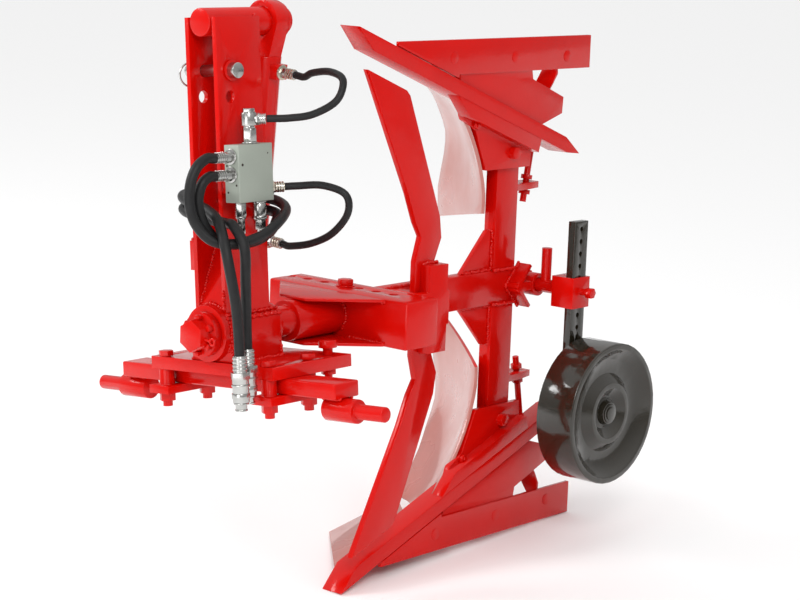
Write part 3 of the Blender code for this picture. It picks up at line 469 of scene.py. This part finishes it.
def rubber():
    look, shader = startMaterial(
        "hoseRubber",
        {"Roughness": rubberFinish["roughness"], "Specular IOR Level": rubberFinish["specular"]},
    )
    tree = look.node_tree
    relief = addNode(tree, "ShaderNodeGroup", node_tree=groups["braid"])
    ramp = addNode(tree, "ShaderNodeValToRGB")
    ramp.color_ramp.elements[0].color = rubberFinish["darkest"]
    ramp.color_ramp.elements[1].color = rubberFinish["palest"]
    wire(
        tree,
        (relief, "Shade", ramp, "Fac"),
        (ramp, "Color", shader, "Base Color"),
        (relief, "Normal", shader, "Normal"),
    )
    return look


# The frame's material slots first, then the finishes that only this file uses
looks = {
    "red_paint": paint("redPaint"),
    "black_enamel": paint("blackEnamel"),
    "zinc_plate": paint("zincPlate"),
    "valve_metal": paint("valveMetal"),
    "chromed_rod": paint("chromedRod"),
    "hose_rubber": rubber(),
    "warmZinc": paint("warmZinc"),
    "boardSheenPaint": paint("boardSheenPaint"),
    "darkHole": paint("darkHole"),
}
slots = {subpart["node"]: subpart["material_slot"] for subpart in frame["record"]["subparts"]}
print("materials ready")


def selectOnly(obj):
    bpy.ops.object.select_all(action="DESELECT")
    bpy.context.view_layer.objects.active = obj
    obj.select_set(True)


# Puts a finished piece's shape in place, leaves its object at the origin, and gives it its look and body
def settle(obj, axes, body, look, smoothAngle=40):
    obj.data.transform(axes @ obj.matrix_world)
    obj.matrix_world = Matrix.Identity(4)
    obj.data.materials.clear()
    obj.data.materials.append(looks[look])
    selectOnly(obj)
    bpy.ops.object.shade_smooth_by_angle(angle=math.radians(smoothAngle))
    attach(obj, body)
    return obj


def roundEdges(obj, width, steps, sharpAngle):
    selectOnly(obj)
    mod = obj.modifiers.new("bevel", "BEVEL")
    mod.width = width
    mod.segments = steps
    mod.limit_method = "ANGLE"
    mod.angle_limit = math.radians(sharpAngle)
    bpy.ops.object.modifier_apply(modifier=mod.name)


# Every node of the frame but the hoses gets a copy with rounded edges that takes its place
rounding = {
    "widths": {"default": 0.0009, "thin": 0.0004, "cast": 0.0015, "soft": 0.0020},
    "bevelSteps": 2,
    "sharpAngle": 38,
    "smoothAngle": 36,
    "mergeWithin": 0.00002,
    "flatWithin": 1.0,
    "thin": (
        "cylinder_rod",
        "upper_moldboard",
        "lower_moldboard",
        "gauge_wheel",
        "valve_block",
        "upper_share",
        "lower_share",
    ),
    "cast": ("spindle_housing", "plough_beam", "crossbar"),
    "soft": ("box_beam",),
}


def bodyOf(node):
    return next(b for b, members in frame["record"]["behaviour"]["bodies"].items() if node in members)


def roundingOf(node):
    kind = next((k for k in ("thin", "cast", "soft") if node in rounding[k]), "default")
    return rounding["widths"][kind]


def refine(node):
    obj = frame["nodes"][node].copy()
    obj.data = frame["nodes"][node].data.copy()
    obj.name = node + "_finished"
    for key in list(obj.keys()):
        if key.startswith("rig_"):
            del obj[key]
    bpy.context.scene.collection.objects.link(obj)
    obj.parent = None
    obj.matrix_world = Matrix.Identity(4)
    selectOnly(obj)
    bpy.ops.object.mode_set(mode="EDIT")
    bpy.ops.mesh.select_all(action="SELECT")
    bpy.ops.mesh.remove_doubles(threshold=rounding["mergeWithin"])
    bpy.ops.mesh.dissolve_limited(angle_limit=math.radians(rounding["flatWithin"]))
    bpy.ops.object.mode_set(mode="OBJECT")
    roundEdges(obj, roundingOf(node), rounding["bevelSteps"], rounding["sharpAngle"])
    settle(obj, Matrix.Identity(4), bodyOf(node), slots[node], rounding["smoothAngle"])
    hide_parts(node)
    return obj


# Faces of the boards and shares that look ahead take a paler, greyer red: painted reflection of the bright
# surround on their gloss
sheenFacing = {"nodes": ("upper_moldboard", "lower_moldboard", "upper_share", "lower_share"), "turned": 0.25}


# gives the forward-looking faces the painted-reflection red
def paintSheenAhead(obj):
    obj.data.materials.append(looks["boardSheenPaint"])
    ahead = turnAxes.to_3x3().col[1] * -1
    for face in obj.data.polygons:
        if face.normal.dot(ahead) > sheenFacing["turned"]:
            face.material_index = 1


finished = {node: refine(node) for node in frame["nodes"] if slots[node] != "hose_rubber"}
for node in sheenFacing["nodes"]:
    paintSheenAhead(finished[node])
print("nodes refined")

# Hoses: the same routes as the frame's, in the headstock's axes, for the real thinner tubes
hoses = {
    "supplyRadius": 0.0083,
    "cylinderRadius": 0.0060,
    "straight": 0.003,  # each end leaves its ferrule this far before it bends
    "steps": 6,  # points of the line between two given ones
    "roundness": 5,
    "heldShare": 0.09,  # how much of a cylinder hose's span keeps still at each end
}
valveX = 0.070  # the middle of the valve block and its unions
elbowReach = (0.0206, 0.0186)
rearUnionReach = (0.0146, 0.0254)
swingTurn = headAxes.inverted() @ cylinderAxes


def onCylinder(x, z):
    return tuple(swingTurn @ Vector((x, 0, z)))


routes = {
    "upper_cylinder_hose": [
        onCylinder(0.0703, -0.078),
        onCylinder(0.090, -0.078),
        (0.098, 0.197, 0.4045),
        (0.140, 0.192, 0.406),
        (0.175, 0.183, 0.393),
        (0.175, 0.167, 0.362),
        (0.147, 0.143, 0.342),
        (0.118, 0.120, 0.337),
        (valveX + elbowReach[0], 0.0956, 0.337),
    ],
    "lower_cylinder_hose": [
        (valveX + rearUnionReach[0], 0.1376, 0.228),
        (0.100, 0.150, 0.2285),
        (0.135, 0.172, 0.2285),
        (0.170, 0.186, 0.214),
        (0.166, 0.194, 0.183),
        (0.128, 0.198, 0.150),
        (0.080, 0.200, 0.132),
        onCylinder(0.088, -0.354),
        onCylinder(0.0703, -0.354),
    ],
    "upper_supply_hose": [
        (valveX, -0.0003, 0.281),
        (valveX, -0.018, 0.281),
        (0.068, -0.038, 0.268),
        (0.065, -0.049, 0.243),
        (0.064, -0.051, 0.212),
        (0.070, -0.044, 0.181),
        (0.086, -0.026, 0.156),
        (0.108, 0.004, 0.150),
        (0.122, 0.045, 0.160),
        (0.120, 0.085, 0.178),
        (0.095, 0.128, 0.193),
        (0.052, 0.154, 0.203),
        (0.000, 0.158, 0.210),
        (-0.026, 0.160, 0.213),
        (-0.0445, 0.148, 0.216),
        (-0.050, 0.118, 0.220),
        (-0.0475, 0.075, 0.221),
        (-0.041, 0.038, 0.219),
        (-0.018, 0.017, 0.214),
        (0.015, 0.006, 0.209),
        (0.050, 0.000, 0.200),
        (0.082, -0.010, 0.185),
        (0.110, -0.026, 0.155),
        (0.122, -0.028, 0.112),
        (0.124, -0.020, 0.060),
        (0.120, -0.012, 0.010),
        (0.120, -0.012, -0.020),
    ],
    "lower_supply_hose": [
        (valveX, -0.0003, 0.253),
        (valveX, -0.013, 0.253),
        (0.068, -0.027, 0.243),
        (0.064, -0.032, 0.222),
        (0.062, -0.029, 0.200),
        (0.065, -0.020, 0.176),
        (0.075, -0.003, 0.153),
        (0.088, 0.022, 0.147),
        (0.101, 0.055, 0.151),
        (0.100, 0.086, 0.162),
        (0.080, 0.120, 0.174),
        (0.048, 0.154, 0.184),
        (0.000, 0.158, 0.190),
        (-0.026, 0.160, 0.193),
        (-0.0445, 0.148, 0.196),
        (-0.050, 0.118, 0.200),
        (-0.0475, 0.075, 0.201),
        (-0.041, 0.038, 0.199),
        (-0.018, 0.020, 0.194),
        (0.015, 0.012, 0.189),
        (0.048, 0.010, 0.184),
        (0.080, 0.010, 0.180),
        (0.108, -0.002, 0.177),
        (0.131, -0.004, 0.146),
        (0.124, 0.003, 0.092),
        (0.114, 0.012, 0.045),
        (0.106, 0.019, 0.008),
        (0.106, 0.019, -0.014),
    ],
}


# One point of the Catmull-Rom curve between b and c
def between(a, b, c, d, t):
    return 0.5 * (2 * b + (c - a) * t + (2 * a - 5 * b + 4 * c - d) * t * t + (3 * b - a - 3 * c + d) * t**3)


# A smooth line through the given points, with a short straight at each end
def smoothPath(points):
    points = [Vector(p) for p in points]
    first = points[0] + (points[1] - points[0]).normalized() * hoses["straight"]
    last = points[-1] + (points[-2] - points[-1]).normalized() * hoses["straight"]
    inner = [first, *points[1:-1], last]
    ends = [inner[0] * 2 - inner[1], *inner, inner[-1] * 2 - inner[-2]]
    line = [points[0]]
    for a, b, c, d in zip(ends, ends[1:], ends[2:], ends[3:]):
        line += [between(a, b, c, d, i / hoses["steps"]) for i in range(hoses["steps"])]
    return [*line, inner[-1], points[-1]]


def makeTube(name, path, radius):
    curve = bpy.data.curves.new(name, "CURVE")
    curve.dimensions = "3D"
    curve.bevel_depth = radius
    curve.bevel_resolution = hoses["roundness"]
    curve.use_fill_caps = True
    spline = curve.splines.new("POLY")
    spline.points.add(len(path) - 1)
    for point, place in zip(spline.points, path):
        point.co = (*place, 1)
    spline.use_smooth = True
    curve.materials.append(looks["hose_rubber"])
    tube = bpy.data.objects.new(name, curve)
    bpy.context.scene.collection.objects.link(tube)
    return tube


# A cylinder hose is made a plain mesh in place, held by no body; a supply hose rides on the headstock
def makeHose(node, radius, farEnd):
    path = [headAxes @ p for p in smoothPath(routes[node])]
    tube = makeTube(node + "_tube", path, radius)
    bends = farEnd == "object"
    if bends:
        selectOnly(tube)
        bpy.ops.object.convert(target="MESH")
        tube = bpy.context.object
        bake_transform(tube)
    else:
        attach(tube, "headstock")
    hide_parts(node)


for word in ("upper", "lower"):
    makeHose(f"{word}_supply_hose", hoses["supplyRadius"], "connector")
    makeHose(f"{word}_cylinder_hose", hoses["cylinderRadius"], "object")
print("hoses laid")


# Shared by all the turned and hexagonal parts: edges sharper than sharpAngle are rounded in so many steps
turned = {"sharpAngle": 50, "bevelSteps": 2, "ringSides": 40, "wireSides": 10, "ringSmooth": 60}


# A bar, washer, nut or bolt head from point a to point b
def rounded(name, a, b, radius, axes, body, look="red_paint", sides=24, bevel=0.0006):
    a = Vector(a)
    b = Vector(b)
    turn = (b - a).to_track_quat("Z", "Y")
    bpy.ops.mesh.primitive_cylinder_add(
        vertices=sides, radius=radius, depth=(b - a).length, location=(a + b) / 2, rotation=turn.to_euler()
    )
    obj = bpy.context.object
    obj.name = name
    if bevel:
        roundEdges(obj, bevel, turned["bevelSteps"], turned["sharpAngle"])
    return settle(obj, axes, body, look)


def ringPiece(name, centre, major, minor, axes, body, look, turn):
    bpy.ops.mesh.primitive_torus_add(
        major_radius=major,
        minor_radius=minor,
        major_segments=turned["ringSides"],
        minor_segments=turned["wireSides"],
        location=centre,
        rotation=[math.radians(t) for t in turn],
    )
    obj = bpy.context.object
    obj.name = name
    return settle(obj, axes, body, look, turned["ringSmooth"])


# A hexagon head on its washer, standing on a face at base: all but the washer's thickness and
# the bevels are shares of the hexagon's radius
boltShape = {
    "washer": 0.0016,
    "washerRadius": 1.18,
    "washerBevel": 0.0003,
    "head": 0.75,
    "headBevel": 0.0008,
    "threadRadius": 0.52,
}


def bolt(name, base, outward, size, axes, body, stub=0.0):
    base = Vector(base)
    out = Vector(outward).normalized()
    foot = base + out * boltShape["washer"]
    top = foot + out * size * boltShape["head"]
    washerRadius = size * boltShape["washerRadius"]
    threadRadius = size * boltShape["threadRadius"]
    rounded(name + "_washer", base, foot, washerRadius, axes, body, sides=28, bevel=boltShape["washerBevel"])
    rounded(name + "_head", foot, top, size, axes, body, sides=6, bevel=boltShape["headBevel"])
    if stub:
        rounded(name + "_end", top, top + out * stub, threadRadius, axes, body, sides=16)


# Bolts of the two bodies: the landsides' countersunk heads and nuts, then the frog's and the plate's
bodyBolts = {
    "headFrom": 0.0449,
    "headTo": 0.0456,
    "headRadius": 0.0105,
    "nutSize": 0.0085,
    "nutEnd": 0.004,
    "landside": ((0.037, 0.574, 0.423), (0.0259, 0.746, 0.420), (0.037, 0.899, 0.417)),
    "others": {
        "frog_bolt": {"place": (0.026, 0.662, 0.302), "size": 0.0080, "stub": 0.003},
        "plate_bolt": {"place": (0.026, 0.822, 0.333), "size": 0.0078, "stub": 0.0},
    },
}
for word, s in (("upper", 1), ("lower", -1)):
    for n, (face, y, z) in enumerate(bodyBolts["landside"]):
        rounded(
            f"{word}_landside_bolt_{n}",
            (bodyBolts["headFrom"], y, s * z),
            (bodyBolts["headTo"], y, s * z),
            bodyBolts["headRadius"],
            *onTurn,
            sides=32,
            bevel=0.0004,
        )
        bolt(
            f"{word}_landside_nut_{n}",
            (face, y, s * z),
            (-1, 0, 0),
            bodyBolts["nutSize"],
            *onTurn,
            stub=bodyBolts["nutEnd"],
        )
    for name, one in bodyBolts["others"].items():
        x, y, z = one["place"]
        bolt(f"{word}_{name}", (x, y, s * z), (1, 0, 0), one["size"], *onTurn, stub=one["stub"])

# The beam's setting bolt through the box, and the nuts under the two stop bolts
frameBolts = {
    "setting": {"x": -0.0095, "y": 0.373, "reach": 0.040, "size": 0.0135, "stub": 0.006},
    "stop": {"x": 0.112, "y": 0.196, "z": -0.0663, "size": 0.0125, "stub": 0.005},
}
setting = frameBolts["setting"]
bolt("setting_bolt_0", (setting["x"], setting["y"], setting["reach"]), (0, 0, 1), setting["size"], *onTurn)
bolt(
    "setting_nut_0",
    (setting["x"], setting["y"], -setting["reach"]),
    (0, 0, -1),
    setting["size"],
    *onTurn,
    stub=setting["stub"],
)
stop = frameBolts["stop"]
for s, word in ((1, "left"), (-1, "right")):
    place = (s * stop["x"], stop["y"], stop["z"])
    bolt(f"{word}_stop_nut", place, (0, 0, -1), stop["size"], *onHead, stub=stop["stub"])

# Top link pin: the linch pin with its spring ring, and a boss on each cheek
topPin = {
    "y": 0.079,
    "z": 0.413,
    "linchX": -0.0565,
    "linchEnds": (0.398, 0.430),
    "linchRadius": 0.0028,
    "ring": 0.019,
    "ringWire": 0.0017,
    "ringDrop": 0.006,
    "ringTurn": (90, 0, 68),
    "bossX": 0.0345,
    "bossSink": 0.0004,
    "bossStand": 0.0022,
    "bossRadius": 0.0165,
}
ringPiece(
    "linch_ring",
    (topPin["linchX"], topPin["y"], topPin["z"] - topPin["ringDrop"]),
    topPin["ring"],
    topPin["ringWire"],
    *onHead,
    "zinc_plate",
    topPin["ringTurn"],
)
linchLow, linchHigh = ((topPin["linchX"], topPin["y"], z) for z in topPin["linchEnds"])
rounded("linch_pin", linchLow, linchHigh, topPin["linchRadius"], *onHead, "zinc_plate", 16)
for word, s in (("left", 1), ("right", -1)):
    inner = s * (topPin["bossX"] - topPin["bossSink"])
    outer = s * (topPin["bossX"] + topPin["bossStand"])
    rounded(
        f"{word}_pin_boss",
        (inner, topPin["y"], topPin["z"]),
        (outer, topPin["y"], topPin["z"]),
        topPin["bossRadius"],
        *onHead,
        sides=32,
        bevel=0.0004,
    )

# Spindle nut: the cotter through its slots, with the cotter's eye
cotter = {
    "from": (-0.030, 0.0105, 0.004),
    "to": (0.036, 0.0105, -0.004),
    "radius": 0.0026,
    "eye": (0.039, 0.0105, -0.0045),
    "eyeRadius": 0.0050,
    "eyeWire": 0.0020,
}
rounded("spindle_cotter", cotter["from"], cotter["to"], cotter["radius"], *onTurn, sides=14)
ringPiece(
    "cotter_loop",
    cotter["eye"],
    cotter["eyeRadius"],
    cotter["eyeWire"],
    *onTurn,
    "red_paint",
    (90, 0, 0),
)


# Crimp rings spaced along a ferrule, each as wide as a share of its spacing
crimpShape = {"halfWidth": 0.27, "sides": 24, "bevel": 0.0005}


def crimps(name, a, b, radius, count, axes, body, look="zinc_plate"):
    a = Vector(a)
    b = Vector(b)
    half = (b - a) / count * crimpShape["halfWidth"]
    for n in range(count):
        at = a.lerp(b, (n + 0.5) / count)
        rounded(
            f"{name}_{n}",
            at - half,
            at + half,
            radius,
            axes,
            body,
            look,
            crimpShape["sides"],
            crimpShape["bevel"],
        )


# Supply unions on the valve's front face, and the unions at the cylinder's two ports
unions = {
    "ferrule": 0.0088,
    "seat": 0.0125,
    "supplyHeights": {"upper": 0.281, "lower": 0.253},
    "supplyCrimps": (0.001, 0.020),
    "supplySeat": (0.0330, 0.0359),
    "portHeights": {"upper": -0.078, "lower": -0.354},
    "portCrimps": (0.053, 0.069),
    "portSeat": (0.0402, 0.0425),
}
for word, z in unions["supplyHeights"].items():
    a, b = ((valveX, y, z) for y in unions["supplyCrimps"])
    crimps(f"{word}_supply_crimp", a, b, unions["ferrule"], 4, *onHead)
    a, b = ((valveX, y, z) for y in unions["supplySeat"])
    rounded(f"{word}_supply_seat", a, b, unions["seat"], *onHead, "zinc_plate")
for word, z in unions["portHeights"].items():
    a, b = ((x, 0, z) for x in unions["portCrimps"])
    crimps(f"{word}_port_crimp", a, b, unions["ferrule"], 3, *onBarrel, "warmZinc")
    a, b = ((x, 0, z) for x in unions["portSeat"])
    rounded(f"{word}_port_crimp_seat", a, b, unions["seat"], *onBarrel, "warmZinc")

# Quick couplers: crimps under each hose's end, then collars down the body, measured from its top
couplers = {
    "tops": {"upper": (0.120, -0.012, -0.0203), "lower": (0.106, 0.019, -0.0143)},
    "crimps": (0.001, 0.024),
    "crimpRadius": 0.0116,
    "collars": (
        (0.044, 0.047, 0.0145),
        (0.058, 0.066, 0.0143),
        (0.0725, 0.0755, 0.0118),
        (0.083, 0.0855, 0.0100),
    ),
}
for word, (x, y, top) in couplers["tops"].items():
    a, b = ((x, y, top - down) for down in couplers["crimps"])
    crimps(f"{word}_coupler_crimp", a, b, couplers["crimpRadius"], 4, *onHead)
    for n, (high, low, radius) in enumerate(couplers["collars"]):
        a, b = ((x, y, top - down) for down in (high, low))
        rounded(f"{word}_coupler_collar_{n}", a, b, radius, *onHead, "zinc_plate", 28)

# Swivel elbow on top of the valve: from, to, radius and sides of each ring, then the way to its hose
elbow = {
    "y": 0.077,
    "outletHeight": 0.337,
    "stack": {
        "sleeve_washer": (0.2992, 0.3020, 0.0128, 28),
        "sleeve_hex": (0.3020, 0.3230, 0.0118, 6),
        "sleeve_collar": (0.3230, 0.3265, 0.0098, 28),
        "drum": (0.3275, 0.3465, 0.0125, 32),
        "top_washer": (0.3465, 0.3480, 0.0118, 28),
        "top_hex": (0.3480, 0.3540, 0.0105, 6),
    },
    "nut": (0.0115, 0.0175),
    "nutRadius": 0.0098,
    "crimps": (0.0176, 0.0274),
}
for name, (low, high, radius, sides) in elbow["stack"].items():
    a, b = ((valveX, elbow["y"], z) for z in (low, high))
    rounded(f"elbow_{name}", a, b, radius, *onHead, "zinc_plate", sides)
elbowMiddle = Vector((valveX, elbow["y"], elbow["outletHeight"]))
elbowOut = Vector((*elbowReach, 0)).normalized()
a, b = (elbowMiddle + elbowOut * along for along in elbow["nut"])
rounded("elbow_swivel_nut", a, b, elbow["nutRadius"], *onHead, "zinc_plate", 6)
a, b = (elbowMiddle + elbowOut * along for along in elbow["crimps"])
crimps("elbow_crimp", a, b, unions["ferrule"], 3, *onHead)

# Rear union, slanting out of the valve's back
rearUnion = {
    "foot": (valveX, 0.1122, 0.228),
    "rings": {"seat": (0.0004, 0.0030, 0.0120, 28), "nut": (0.0030, 0.0115, 0.0108, 6)},
    "crimps": (0.0120, 0.0285),
    "crimpRadius": 0.0086,
}
unionFoot = Vector(rearUnion["foot"])
unionOut = Vector((*rearUnionReach, 0)).normalized()
for name, (low, high, radius, sides) in rearUnion["rings"].items():
    a, b = (unionFoot + unionOut * along for along in (low, high))
    rounded(f"rear_union_{name}", a, b, radius, *onHead, "warmZinc", sides)
a, b = (unionFoot + unionOut * along for along in rearUnion["crimps"])
crimps("rear_union_crimp", a, b, rearUnion["crimpRadius"], 4, *onHead, "warmZinc")

# Valve block: the rings of its two cartridges, and its ports as thin near-black discs on its faces, painted shade
# standing in for the holes
valve = {
    "cartridges": {
        "front": {
            "y": 0.052,
            "rings": ((0.1870, 0.2088, 0.0094, 6), (0.1845, 0.1870, 0.0080, 28), (0.1600, 0.1845, 0.0070, 6)),
        },
        "rear": {
            "y": 0.094,
            "rings": (
                (0.2050, 0.2088, 0.0118, 32),
                (0.1850, 0.2050, 0.0108, 32),
                (0.1800, 0.1850, 0.0122, 32),
                (0.1640, 0.1800, 0.0098, 6),
            ),
        },
    },
    "sideFace": (0.0850, 0.0857),
    "sidePorts": ((0.0446, 0.268, 0.0022), (0.101, 0.2835, 0.0012)),
    "frontFace": (0.0357, 0.0366),
    "frontPorts": ((0.0600, 0.2665), (0.0795, 0.2365), (0.0610, 0.2250)),
    "frontPortRadius": 0.0017,
}
for word, cartridge in valve["cartridges"].items():
    for n, (low, high, radius, sides) in enumerate(cartridge["rings"]):
        a, b = ((valveX, cartridge["y"], z) for z in (low, high))
        rounded(f"{word}_cartridge_ring_{n}", a, b, radius, *onHead, "zinc_plate", sides)
# each port is a thin disc of painted shade laid on the face, not a hole
for n, (y, z, radius) in enumerate(valve["sidePorts"]):
    a, b = ((x, y, z) for x in valve["sideFace"])
    rounded(f"valve_side_port_{n}", a, b, radius, *onHead, "darkHole", 16, 0.0)
for n, (x, z) in enumerate(valve["frontPorts"]):
    a, b = ((x, y, z) for y in valve["frontFace"])
    rounded(f"valve_front_port_{n}", a, b, valve["frontPortRadius"], *onHead, "darkHole", 16, 0.0)

# Castle nut: teeth round the spindle's cap, with slots between them
castle = {
    "teeth": 6,
    "radius": 0.0290,
    "width": 0.0105,
    "front": 0.0125,
    "back": 0.0222,
    "depth": 0.0065,
    "bevel": 0.0012,
    "bevelSteps": 2,
    "sharpAngle": 40,
}
for n in range(castle["teeth"]):
    t = 2 * math.pi * (n + 0.5) / castle["teeth"]
    middle = (castle["front"] + castle["back"]) / 2
    bpy.ops.mesh.primitive_cube_add(
        size=1,
        location=(castle["radius"] * math.cos(t), middle, castle["radius"] * math.sin(t)),
        rotation=(0, -t, 0),
        scale=(castle["depth"], castle["back"] - castle["front"], castle["width"]),
    )
    tooth = bpy.context.object
    tooth.name = f"castle_tooth_{n}"
    bpy.ops.object.transform_apply(location=False, rotation=False, scale=True)
    roundEdges(tooth, castle["bevel"], castle["bevelSteps"], castle["sharpAngle"])
    settle(tooth, *onTurn, "red_paint")
print("bolts and fittings made")

# Welds: strings of cooled drops along the seams
welds = {"step": 0.0045, "radius": 0.0034, "uneven": 0.35, "wander": 0.5, "smoothAngle": 60, "seed": 7}
drops = random.Random(welds["seed"])


def weld(name, points, axes, body):
    points = [Vector(p) for p in points]
    spots = []
    for a, b in zip(points, points[1:]):
        count = max(1, round((b - a).length / welds["step"]))
        spots += [a.lerp(b, i / count) for i in range(count)]
    spots.append(points[-1])
    bpy.ops.object.select_all(action="DESELECT")
    for n, spot in enumerate(spots):
        size = welds["radius"] * (1 + welds["uneven"] * (drops.random() - 0.5))
        wander = Vector([drops.random() - 0.5 for _ in range(3)]) * welds["radius"] * welds["wander"]
        bpy.ops.mesh.primitive_ico_sphere_add(subdivisions=2, radius=size, location=spot + wander)
        if n == 0:
            obj = bpy.context.object
            obj.name = name
            bpy.ops.object.mode_set(mode="EDIT")
    bpy.ops.object.mode_set(mode="OBJECT")
    return settle(obj, axes, body, "red_paint", welds["smoothAngle"])


# Points on a circle's arc square to the given axis, in degrees from the first axis of its plane
def arc(centre, radius, start, end, plane="Y", steps=10):
    made = []
    for i in range(steps + 1):
        t = math.radians(start + (end - start) * i / steps)
        u = radius * math.cos(t)
        v = radius * math.sin(t)
        offset = {"Y": (u, 0, v), "X": (0, u, v)}[plane]
        made.append(tuple(c + o for c, o in zip(centre, offset)))
    return made


headWelds = {
    "housing_front_left": arc((0, 0.048, 0), 0.046, 40, -35),
    "housing_front_right": arc((0, 0.048, 0), 0.046, 140, 215),
    "saddle_front_left": [(0.045, 0.050, -0.012), (0.045, 0.050, -0.044)],
    "saddle_side_left": [(0.0455, 0.052, 0.0235), (0.0455, 0.156, 0.0235)],
    "saddle_rear_left": [(0.036, 0.1585, 0.030), (0.045, 0.1585, -0.044)],
    "saddle_foot_left": [(0.0465, 0.050, -0.0455), (0.0465, 0.158, -0.0455)],
    "saddle_foot_right": [(-0.0465, 0.050, -0.0455), (-0.0465, 0.158, -0.0455)],
    "cheek_foot_left": [(0.0355, 0.050, 0.030), (0.0355, 0.146, 0.030)],
    "cheek_foot_right": [(-0.0355, 0.050, 0.030), (-0.0355, 0.146, 0.030)],
    "closing_right": [(-0.0255, 0.092, 0.138), (-0.0255, 0.052, 0.048)],
    "closing_foot": arc((0, 0.049, 0), 0.0465, 55, 125),
    "near_cheek_foot": [(0.0300, 0.0475, 0.040), (0.0300, 0.0475, 0.066)],
    "bar_rear_left": arc((0, 0.1465, 0.489), 0.0245, -75, 20),
    "bar_rear_right": arc((0, 0.1465, 0.489), 0.0245, 160, 255),
    "stop_block": [(-0.0355, 0.0505, 0.147), (-0.0355, 0.084, 0.147)],
}
turnWelds = {
    "tube_to_box_left": arc((0, 0.327, 0), 0.0345, -40, 40),
    "tube_to_box_right": arc((0, 0.327, 0), 0.0345, 140, 220),
    "upper_gusset_edge": [(-0.118, 0.3275, 0.034), (-0.040, 0.3275, 0.034)],
    "upper_gusset_edge_left": [(0.040, 0.3275, 0.034), (0.118, 0.3275, 0.034)],
    "lower_gusset_edge": [(-0.118, 0.3275, -0.034), (-0.040, 0.3275, -0.034)],
    "lower_gusset_edge_left": [(0.040, 0.3275, -0.034), (0.118, 0.3275, -0.034)],
    "beam_to_box_left": [(0.0165, 0.4085, -0.030), (0.0165, 0.4085, 0.030)],
    "beam_to_box_right": [(-0.0115, 0.4085, -0.030), (-0.0115, 0.4085, 0.030)],
    "bracket_front_upper": [(0.0165, 0.452, 0.012), (0.0165, 0.452, 0.029)],
    "bracket_top": [(0.0165, 0.455, 0.0305), (0.0165, 0.530, 0.0305)],
    "vee_left_upper": [(0.0160, 0.783, 0.002), (0.0160, 0.819, 0.040)],
    "vee_left_lower": [(0.0160, 0.783, -0.002), (0.0160, 0.819, -0.040)],
    "sleeve": arc((0.0165, 0.845, 0), 0.0215, 60, 200, "X"),
}
for word, s in (("upper", 1), ("lower", -1)):
    turnWelds[f"{word}_leg_foot"] = [(0.0160, 0.748, s * 0.0315), (0.0160, 0.806, s * 0.0315)]
    turnWelds[f"{word}_leg_gusset"] = [(0.0085, 0.668, s * 0.0325), (0.0085, 0.742, s * 0.0325)]
    turnWelds[f"{word}_leg_gusset_side"] = [(0.0085, 0.7455, s * 0.036), (0.0085, 0.7455, s * 0.104)]
    turnWelds[f"{word}_lug"] = [(-0.006, 0.8085, s * 0.1855), (0.011, 0.8085, s * 0.1855)]
    turnWelds[f"{word}_coulter_bend"] = [(0.0685, 0.484, s * 0.077), (0.0685, 0.519, s * 0.077)]
    turnWelds[f"{word}_strut"] = [(0.0265, 0.800, s * 0.392), (0.0265, 0.796, s * 0.436)]
crossbarWelds = {}
for word, s in (("left", 1), ("right", -1)):
    for edge, y in (("front", 0.0855), ("rear", 0.1125)):
        crossbarWelds[f"{word}_boss_{edge}"] = [(s * 0.203, y, -0.0925), (s * 0.236, y, -0.0925)]
for seams, place in ((headWelds, onHead), (turnWelds, onTurn), (crossbarWelds, onCrossbar)):
    for name, points in seams.items():
        weld(name + "_weld", points, *place)
print("welds run")

# Washer at the end of the wheel's axle
axleWasher = {"from": 0.0285, "to": 0.0300, "radius": 0.0175}
rounded(
    "axle_washer",
    (axleWasher["from"], 0, 0),
    (axleWasher["to"], 0, 0),
    axleWasher["radius"],
    wheelAxes,
    "wheel_post_and_axle",
    "black_enamel",
    32,
)
print("wheel dressed")
